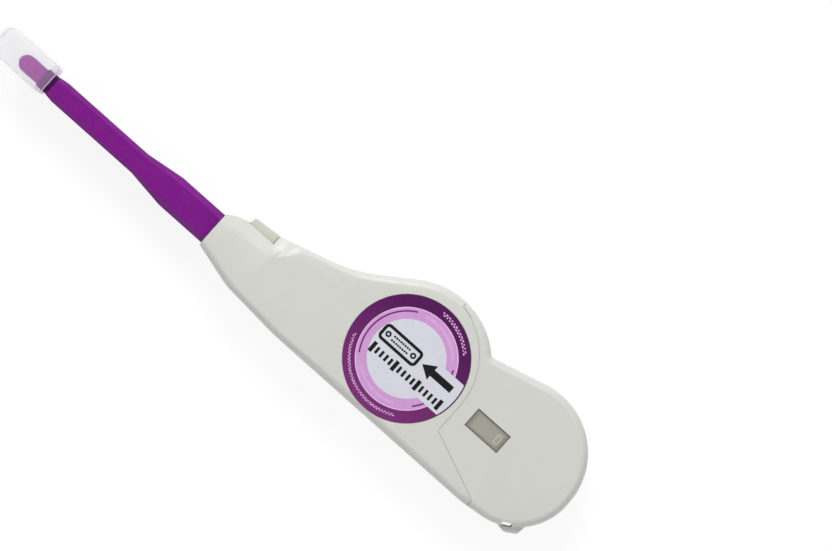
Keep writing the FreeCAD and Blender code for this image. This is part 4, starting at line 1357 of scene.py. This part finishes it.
    def gauge(self, ink: bpy.types.Material, levels: Pair) -> None:
        """A row of bars under the pictogram.

        Args:
            ink: Their ink.
            levels: Height of their underside and of their face.
        """
        mesh = bmesh.new()
        first, y = self.middle.x + self.gauge_start[0], self.middle.y + self.gauge_start[1]
        for bar in range(self.bars):
            x = first + bar * self.gauge_pitch
            wide, tall = self.bar_size if bar % self.bar_group else self.large_bar
            low, high = (x - wide / 2, y - tall / 2), (x + wide / 2, y + tall / 2)
            plate(mesh, rectangle(low, high), *levels)
        self.frame.fasten("label_gauge", mesh, ink, "label")

    def print_marks(self) -> None:
        """Fine print round the dark ring and the lilac one."""
        ink = PrintedInk("label_marks", Shade.LABEL_MARK.value).build()
        tree = arc_print_tree()
        dark = (self.radius + self.lilac_radius) / 2
        lilac = (self.lilac_radius + self.pale_radius) / 2
        for name, radius, first, sweep, count, width in (
            ("label_upper_print", dark, 46, 46, 26, 0.42 * MM),
            ("label_lower_print", dark - 0.2 * MM, 196, 102, 60, 0.3 * MM),
            ("label_inner_print", lilac, 40, 66, 34, 0.34 * MM),
            ("label_foot_print", lilac, 232, 62, 34, 0.26 * MM),
        ):
            sizes = {"Radius": radius, "Count": count, "Width": width, "Length": self.dash_length}
            sizes.update(First_Angle=math.radians(first), Sweep=math.radians(sweep))
            self.stamp(tree, name, (self.middle.x, self.middle.y), 2, ink, **sizes)


@dataclass
class Nozzle:
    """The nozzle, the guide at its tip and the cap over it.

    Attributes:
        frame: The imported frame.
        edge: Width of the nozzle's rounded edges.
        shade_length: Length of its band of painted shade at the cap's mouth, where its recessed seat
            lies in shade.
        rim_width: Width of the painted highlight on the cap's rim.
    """

    frame: Frame
    edge: float = 0.22 * MM
    shade_length: float = 1.5 * MM
    rim_width: float = 0.35 * MM

    def build(self) -> None:
        """Dress the nozzle's pieces."""
        mouth = self.frame.high("guide_cap").x
        # The darker band at the cap's mouth is painted shade on the recessed seat.
        purple = MouldedPlastic(
            "nozzle_plastic_seat_shade",
            Shade.NOZZLE.value,
            roughness=0.3,
            mottle=0.05,
            grain=0.5 * MM,
            band=Shade.NOZZLE_SEAT_SHADE.value,
            shade_band_span=(mouth, mouth + self.shade_length),
            shine=0.3,
        ).build()
        tip = MouldedPlastic("tip_plastic", Shade.TIP.value, roughness=0.3, mottle=0.04).build()
        # The cap's rim gets a painted highlight.
        rim, rim_start = Shade.CAP_RIM_HIGHLIGHT.value, mouth - self.rim_width
        cap = ClearPlastic("cap_plastic_rim_highlight", Shade.CAP.value, rim=rim, rim_start=rim_start).build()
        self.frame.dress("nozzle", "nozzle_group", "nozzle", purple, self.edge)
        self.frame.dress("tip_guide", "nozzle_group", "nozzle", tip)
        self.frame.dress("guide_cap", "cap_group", "cap", cap)


@dataclass
class LockButton:
    """The lock button on the shoulder of the housing.

    Attributes:
        frame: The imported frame.
        edge: Width of the button's rounded edges.
        web_x: Where the web behind the button starts.
        web_width: How thick it is.
        web_sides: Where it starts and ends across the cleaner.
        web_heights: Its underside and top, from the button's middle.
    """

    frame: Frame
    edge: float = 0.3 * MM
    web_x: float = -54.66 * MM
    web_width: float = 0.22 * MM
    web_sides: Pair = (-0.9 * MM, 1.9 * MM)
    web_heights: Pair = (2.6 * MM, 4.2 * MM)

    def build(self) -> None:
        """Dress the button and line the end of its opening."""
        plastic = MouldedPlastic("button_plastic", Shade.BUTTON.value, roughness=0.38).build()
        self.frame.dress("lock_button", "button_group", "button", plastic, self.edge)
        self.line_opening(plastic)

    def line_opening(self, plastic: bpy.types.Material) -> None:
        """A thin web in the housing's gap behind the button's rear end.

        Args:
            plastic: The button's finish.
        """
        middle = self.frame.centre("lock_button")
        low, high = self.web_sides
        floor, top = (middle.z + height for height in self.web_heights)
        mesh = bmesh.new()
        outline = rectangle((self.web_x, low), (self.web_x + self.web_width, high))
        plate(mesh, outline, floor, top)
        self.frame.fasten("button_web", mesh, plastic, "shell")


@dataclass
class InspectionWindow:
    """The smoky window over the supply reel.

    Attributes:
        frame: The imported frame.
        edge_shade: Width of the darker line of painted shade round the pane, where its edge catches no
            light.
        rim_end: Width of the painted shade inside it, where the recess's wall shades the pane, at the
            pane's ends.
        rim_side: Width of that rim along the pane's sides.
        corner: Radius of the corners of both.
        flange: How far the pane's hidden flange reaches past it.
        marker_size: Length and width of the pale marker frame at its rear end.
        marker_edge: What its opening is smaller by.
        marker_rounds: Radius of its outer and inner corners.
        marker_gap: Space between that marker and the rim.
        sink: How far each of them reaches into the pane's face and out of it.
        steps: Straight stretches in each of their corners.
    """

    frame: Frame
    edge_shade: float = 0.35 * MM
    rim_end: float = 1.0 * MM
    rim_side: float = 0.5 * MM
    corner: float = 0.3 * MM
    flange: float = 1.05 * MM
    marker_size: Pair = (1.8 * MM, 3.2 * MM)
    marker_edge: float = 0.7 * MM
    marker_rounds: Pair = (0.4 * MM, 0.1 * MM)
    marker_gap: float = 0.15 * MM
    sink: float = 0.02 * MM
    steps: int = 3

    def __post_init__(self) -> None:
        """Find the middle and the size of the pane."""
        self.middle = self.frame.centre("tape_window")
        self.size = self.frame.extent("tape_window")

    def build(self) -> None:
        """Dress the window."""
        smoke = Shade.WINDOW.value
        pane = ClearPlastic("window_pane", smoke, roughness=0.2, passing=0.42, index=1.2).build()
        self.frame.coat(pane, "tape_window")
        self.line_edge()
        self.set_marker()

    def band(
        self, name: str, middle: Vector, outer: list[Pair], inner: list[Pair], finish: Finish
    ) -> None:
        """Lay a flat band between two outlines on the pane.

        Args:
            name: The band's name.
            middle: The middle of both outlines.
            outer: Corners of the outer outline.
            inner: As many corners of the inner one.
            finish: The band's finish.
        """
        top = self.frame.high("tape_window").z
        mesh = bmesh.new()
        frame_plate(mesh, middle, outer, inner, (top - self.sink, top + self.sink))
        self.frame.fasten(name, mesh, finish.build(), "window")

    def line_edge(self) -> None:
        """Painted shade: the darker line where the pane's edge catches no light, and the darker rim
        inside it where the recess's wall shades the pane.
        """
        width = self.size.x - 2 * self.flange
        height = self.size.y - 2 * self.flange
        # Both bands are painted shade.
        dark = MouldedPlastic("window_edge_shade", Shade.WINDOW_EDGE_SHADE.value, roughness=0.5)
        shady = MouldedPlastic("window_rim_shade", Shade.WINDOW_RIM_SHADE.value, roughness=0.4, mottle=0.08)
        for name, start, end, side, finish in (
            ("window_edge", 0.0, self.edge_shade, self.edge_shade, dark),
            ("window_rim", self.edge_shade, self.rim_end, self.rim_side, shady),
        ):
            wide, tall = width - 2 * (start + end), height - 2 * (start + side)
            inner = round_corners(wide, tall, self.corner, self.steps)
            wide, tall = width - 2 * start, height - 2 * start
            outer = round_corners(wide, tall, self.corner, self.steps)
            self.band(name, self.middle, outer, inner, finish)

    def set_marker(self) -> None:
        """The pale marker frame at the pane's rear end."""
        length, width = self.marker_size
        edge = self.flange + self.edge_shade + self.rim_end + self.marker_gap + length / 2
        spot = Vector((self.middle.x + self.size.x / 2 - edge, self.middle.y, 0))
        pale = MouldedPlastic("marker_plastic", Shade.MARKER.value, roughness=0.4)
        outer_round, inner_round = self.marker_rounds
        outer = round_corners(length, width, outer_round, self.steps)
        length, width = length - self.marker_edge, width - self.marker_edge
        inner = round_corners(length, width, inner_round, self.steps)
        self.band("window_marker", spot, outer, inner, pale)


@dataclass
class TapeDrive:
    """Both reels with their tape, the pinion and the tape's way to the tip.

    Attributes:
        frame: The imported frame.
        slack: How much of the tape the pressed head takes up.
    """

    frame: Frame
    slack: float = 1.6 * MM

    def build(self) -> None:
        """Dress the reels, the tape and the pinion."""
        reel = MouldedPlastic("reel_plastic", Shade.REEL.value, roughness=0.36).build()
        self.frame.coat(reel, "take_up_reel", "supply_reel")
        gear = MouldedPlastic("pinion_plastic", Shade.GEAR.value, roughness=0.4).build()
        self.frame.coat(gear, "drive_pinion")
        ribbon = WovenRibbon("tape_cloth", Shade.TAPE.value).build()
        self.frame.coat(ribbon, "tape_fold")
        for node in ("tape_feed", "tape_return"):
            run = self.frame.dress(node, "carriage", "tape", ribbon)
            held = self.frame.centre(node)
            held.x = self.frame.high(node).x
            left = 1 - self.slack / self.frame.extent(node).x
            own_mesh(run)
        for node in ("take_up_tape", "supply_tape"):
            centre = tuple(self.frame.centre(node))
            roll = WovenRibbon(node + "_cloth", Shade.TAPE.value, wound=True, centre=centre)
            self.frame.coat(roll.build(), node)


@dataclass
class Carriage:
    """The sliding carriage with its pins, pawl, brake and clips, and the cleaning head.

    Attributes:
        frame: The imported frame.
    """

    frame: Frame

    def build(self) -> None:
        """Dress the carriage's pieces."""
        dark = Shade.FRAME.value
        for finish, nodes in (
            (MouldedPlastic("frame_plastic", dark, roughness=0.45), ("carriage_plate", "ratchet_pawl")),
            (DrawnSteel("pin_steel", Shade.STEEL.value, roughness=0.2), ("guide_pins",)),
            (MouldedPlastic("clip_plastic", shaded(dark, 0.5), roughness=0.4), ("reel_clips",)),
            (PressedFelt("brake_felt", Shade.FELT.value), ("brake_washer",)),
            (MouldedPlastic("head_plastic", Shade.HEAD.value, roughness=0.35), ("cleaning_head",)),
        ):
            self.frame.coat(finish.build(), *nodes)


@dataclass
class Springs:
    """The return spring, the head's spring and the button's leaf.

    Attributes:
        frame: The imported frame.
        steps: Straight stretches in a turn of a coil, and in the leaf.
    """

    frame: Frame
    steps: int = 24

    def build(self) -> None:
        """Wind the coils and dress the leaf."""
        steel = DrawnSteel("spring_steel", Shade.STEEL.value).build()
        self.frame.coat(steel, "button_spring")
        self.bend_leaf(steel)
        tree = coil_tree()
        for node, body, wire, turns, joint, travel in (
            ("return_spring", "housing", 0.6 * MM, 7, "push_stroke", 9 * MM),
            ("head_spring", "nozzle_group", 0.4 * MM, 6, "head_press", 1.5 * MM),
        ):
            low, size = self.frame.low(node), self.frame.extent(node)
            middle = self.frame.centre(node)
            sizes = {"Length": size.x, "Radius": (size.z - wire) / 2, "Wire": wire, "Turns": turns}
            sizes.update(Start=(low.x, middle.y, middle.z), Steps=self.steps, Material=steel)
            coil = grow(tree, node + "_wire", sizes)
            self.frame.keep(Piece(coil, body, "spring", (node,)))
            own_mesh(coil)

    def bend_leaf(self, steel: bpy.types.Material) -> None:
        """The button's leaf, a flat strip of steel in the place of the frame's spring, which it hides.

        Args:
            steel: Its finish.
        """
        low = self.frame.low("button_spring")
        high = self.frame.high("button_spring")
        mesh = bmesh.new()
        steps = [low.x + (high.x - low.x) * step / self.steps for step in range(self.steps + 1)]
        lower = [(x, low.y) for x in steps]
        upper = [(x, high.y) for x in reversed(steps)]
        plate(mesh, lower + upper, low.z, high.z)
        leaf = finish_mesh("button_leaf", mesh, steel)
        middle = self.frame.centre("button_spring")
        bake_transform(leaf)
        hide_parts("button_spring")
        LOG.info("made %s between housing and button_group", leaf.name)


@dataclass
class Studio:
    """Floor, lamps, world and camera.

    Attributes:
        frame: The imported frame.
        aim: Where the camera looks, from the middle of the label.
        view_width: How much it sees across at the label's height.
        distance: How far it is above the label.
        turn: How far the cleaner lies turned in the view.
        sensor: Width of its sensor in millimetres.
        floor_radius: Radius of the floor.
        floor_grey: What the floor returns of the lamps' light to the eye.
        floor_glow: Its own light to the eye.
        floor_plain: What it returns to the cleaner.
        sky_level: What the sky adds to the light on a level face, of 1 in all.
        lamp_reach: Distance of the lamps from the cleaner.
    """

    frame: Frame
    aim: Pair = (-15.0 * MM, 21.2 * MM)
    view_width: float = 257.9 * MM
    distance: float = 2.0
    turn: float = math.radians(41.68)
    sensor: float = 36.0
    floor_radius: float = 4.0
    floor_grey: Colour = (0.2, 0.2, 0.2)
    floor_glow: float = 0.84
    floor_plain: Colour = (0.8, 0.8, 0.8)
    sky_level: float = 0.28
    lamp_reach: float = 1.5

    def build(self) -> None:
        """Set up the studio."""
        self.lay_floor()
        self.light_world()
        self.hang_lamps()
        self.mount_camera()
        bpy.context.scene.view_settings.view_transform = "Standard"

    def lay_floor(self) -> None:
        """A pale floor, white to the eye and plain to the light that it returns."""
        mesh = bmesh.new()
        bmesh.ops.create_circle(mesh, cap_ends=True, segments=64, radius=self.floor_radius)
        graph = Graph("studio_floor")
        graph.set(Base_Color=self.floor_grey, Roughness=0.9, Specular_IOR_Level=0.0)
        light = {"Color": (1.0, 1.0, 1.0), "Strength": self.floor_glow}
        glow = graph.add("ShaderNodeEmission", light)
        seen = graph.add("ShaderNodeAddShader", {0: graph.shader.outputs[0], 1: glow.outputs[0]})
        plain = graph.add("ShaderNodeBsdfDiffuse", {"Color": self.floor_plain})
        path = graph.add("ShaderNodeLightPath").outputs
        shown = graph.calc("MAXIMUM", path["Is Camera Ray"], path["Is Glossy Ray"])
        shown = graph.calc("MAXIMUM", shown, path["Is Transmission Ray"])
        mix = graph.add("ShaderNodeMixShader", {0: shown, 1: plain.outputs[0], 2: seen.outputs[0]})
        graph.feed(graph.tree.nodes["Material Output"].inputs["Surface"], mix.outputs[0])
        floor = finish_mesh("floor", mesh, graph.material)
        floor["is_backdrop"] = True

    def light_world(self) -> None:
        """An even white sky that shows as white."""
        world = bpy.data.worlds.new("studio_sky")
        bpy.context.scene.world = world
        world.use_nodes = True
        sky = NodeTree()
        sky.tree = world.node_tree
        seen = sky.add("ShaderNodeLightPath").outputs["Is Camera Ray"]
        span = {"Value": seen, "To Min": self.sky_level, "To Max": 1.0}
        light = sky.tree.nodes["Background"].inputs
        sky.feed(light["Strength"], sky.add("ShaderNodeMapRange", span).outputs["Result"])
        sky.feed(light["Color"], (1.0, 1.0, 1.0))

    def hang_lamps(self) -> None:
        """A soft key from the view's upper side and weaker ones from the other three."""
        middle = sum(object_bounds(), Vector()) / 2
        up = Vector((-math.sin(self.turn), math.cos(self.turn), 0))
        right = Vector((math.cos(self.turn), math.sin(self.turn), 0))
        reach = self.lamp_reach
        for name, side, rise, size, level in (
            ("key", up, math.radians(37), 1.0, 0.50),
            ("low", -up, math.radians(34), 1.4, 0.15),
            ("left", -right, math.radians(40), 1.4, 0.08),
            ("right", right, math.radians(40), 1.4, 0.08),
        ):
            spot = middle + (side * math.cos(rise) + Vector((0, 0, math.sin(rise)))) * reach
            lamp = bpy.data.lights.new(name, "AREA")
            lamp.shape = "DISK"
            lamp.size = size
            lamp.energy = level * math.pi**2 * reach**2 / math.sin(rise)
            thing = new_object(name, lamp)
            thing.location = spot
            thing.rotation_euler = (middle - spot).to_track_quat("-Z", "Y").to_euler()

    def mount_camera(self) -> None:
        """A long lens straight above the cleaner."""
        label = self.frame.centre("label_disc")
        x, y = self.aim
        camera = bpy.data.cameras.new("camera")
        camera.sensor_width = self.sensor
        camera.lens = camera.sensor_width * self.distance / self.view_width
        camera.clip_end = 10 * self.distance
        thing = new_object("camera", camera)
        height = self.frame.high("label_disc").z + self.distance
        thing.location = (label.x + x, label.y + y, height)
        thing.rotation_euler = (0.0, 0.0, self.turn)
        bpy.context.scene.camera = thing


def main() -> None:
    """Dress the cleaner and light it."""
    logging.basicConfig(level=logging.INFO, format="%(name)s: %(message)s")
    frame = Frame(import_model())
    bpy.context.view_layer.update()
    outside = (Shells, LabelFace, InspectionWindow, LockButton, Nozzle)
    for assembly in (*outside, Carriage, TapeDrive, Springs, Studio):
        assembly(frame).build()
    LOG.info("%d pieces made", len(frame.finished))


if __name__ == "__main__":
    main()
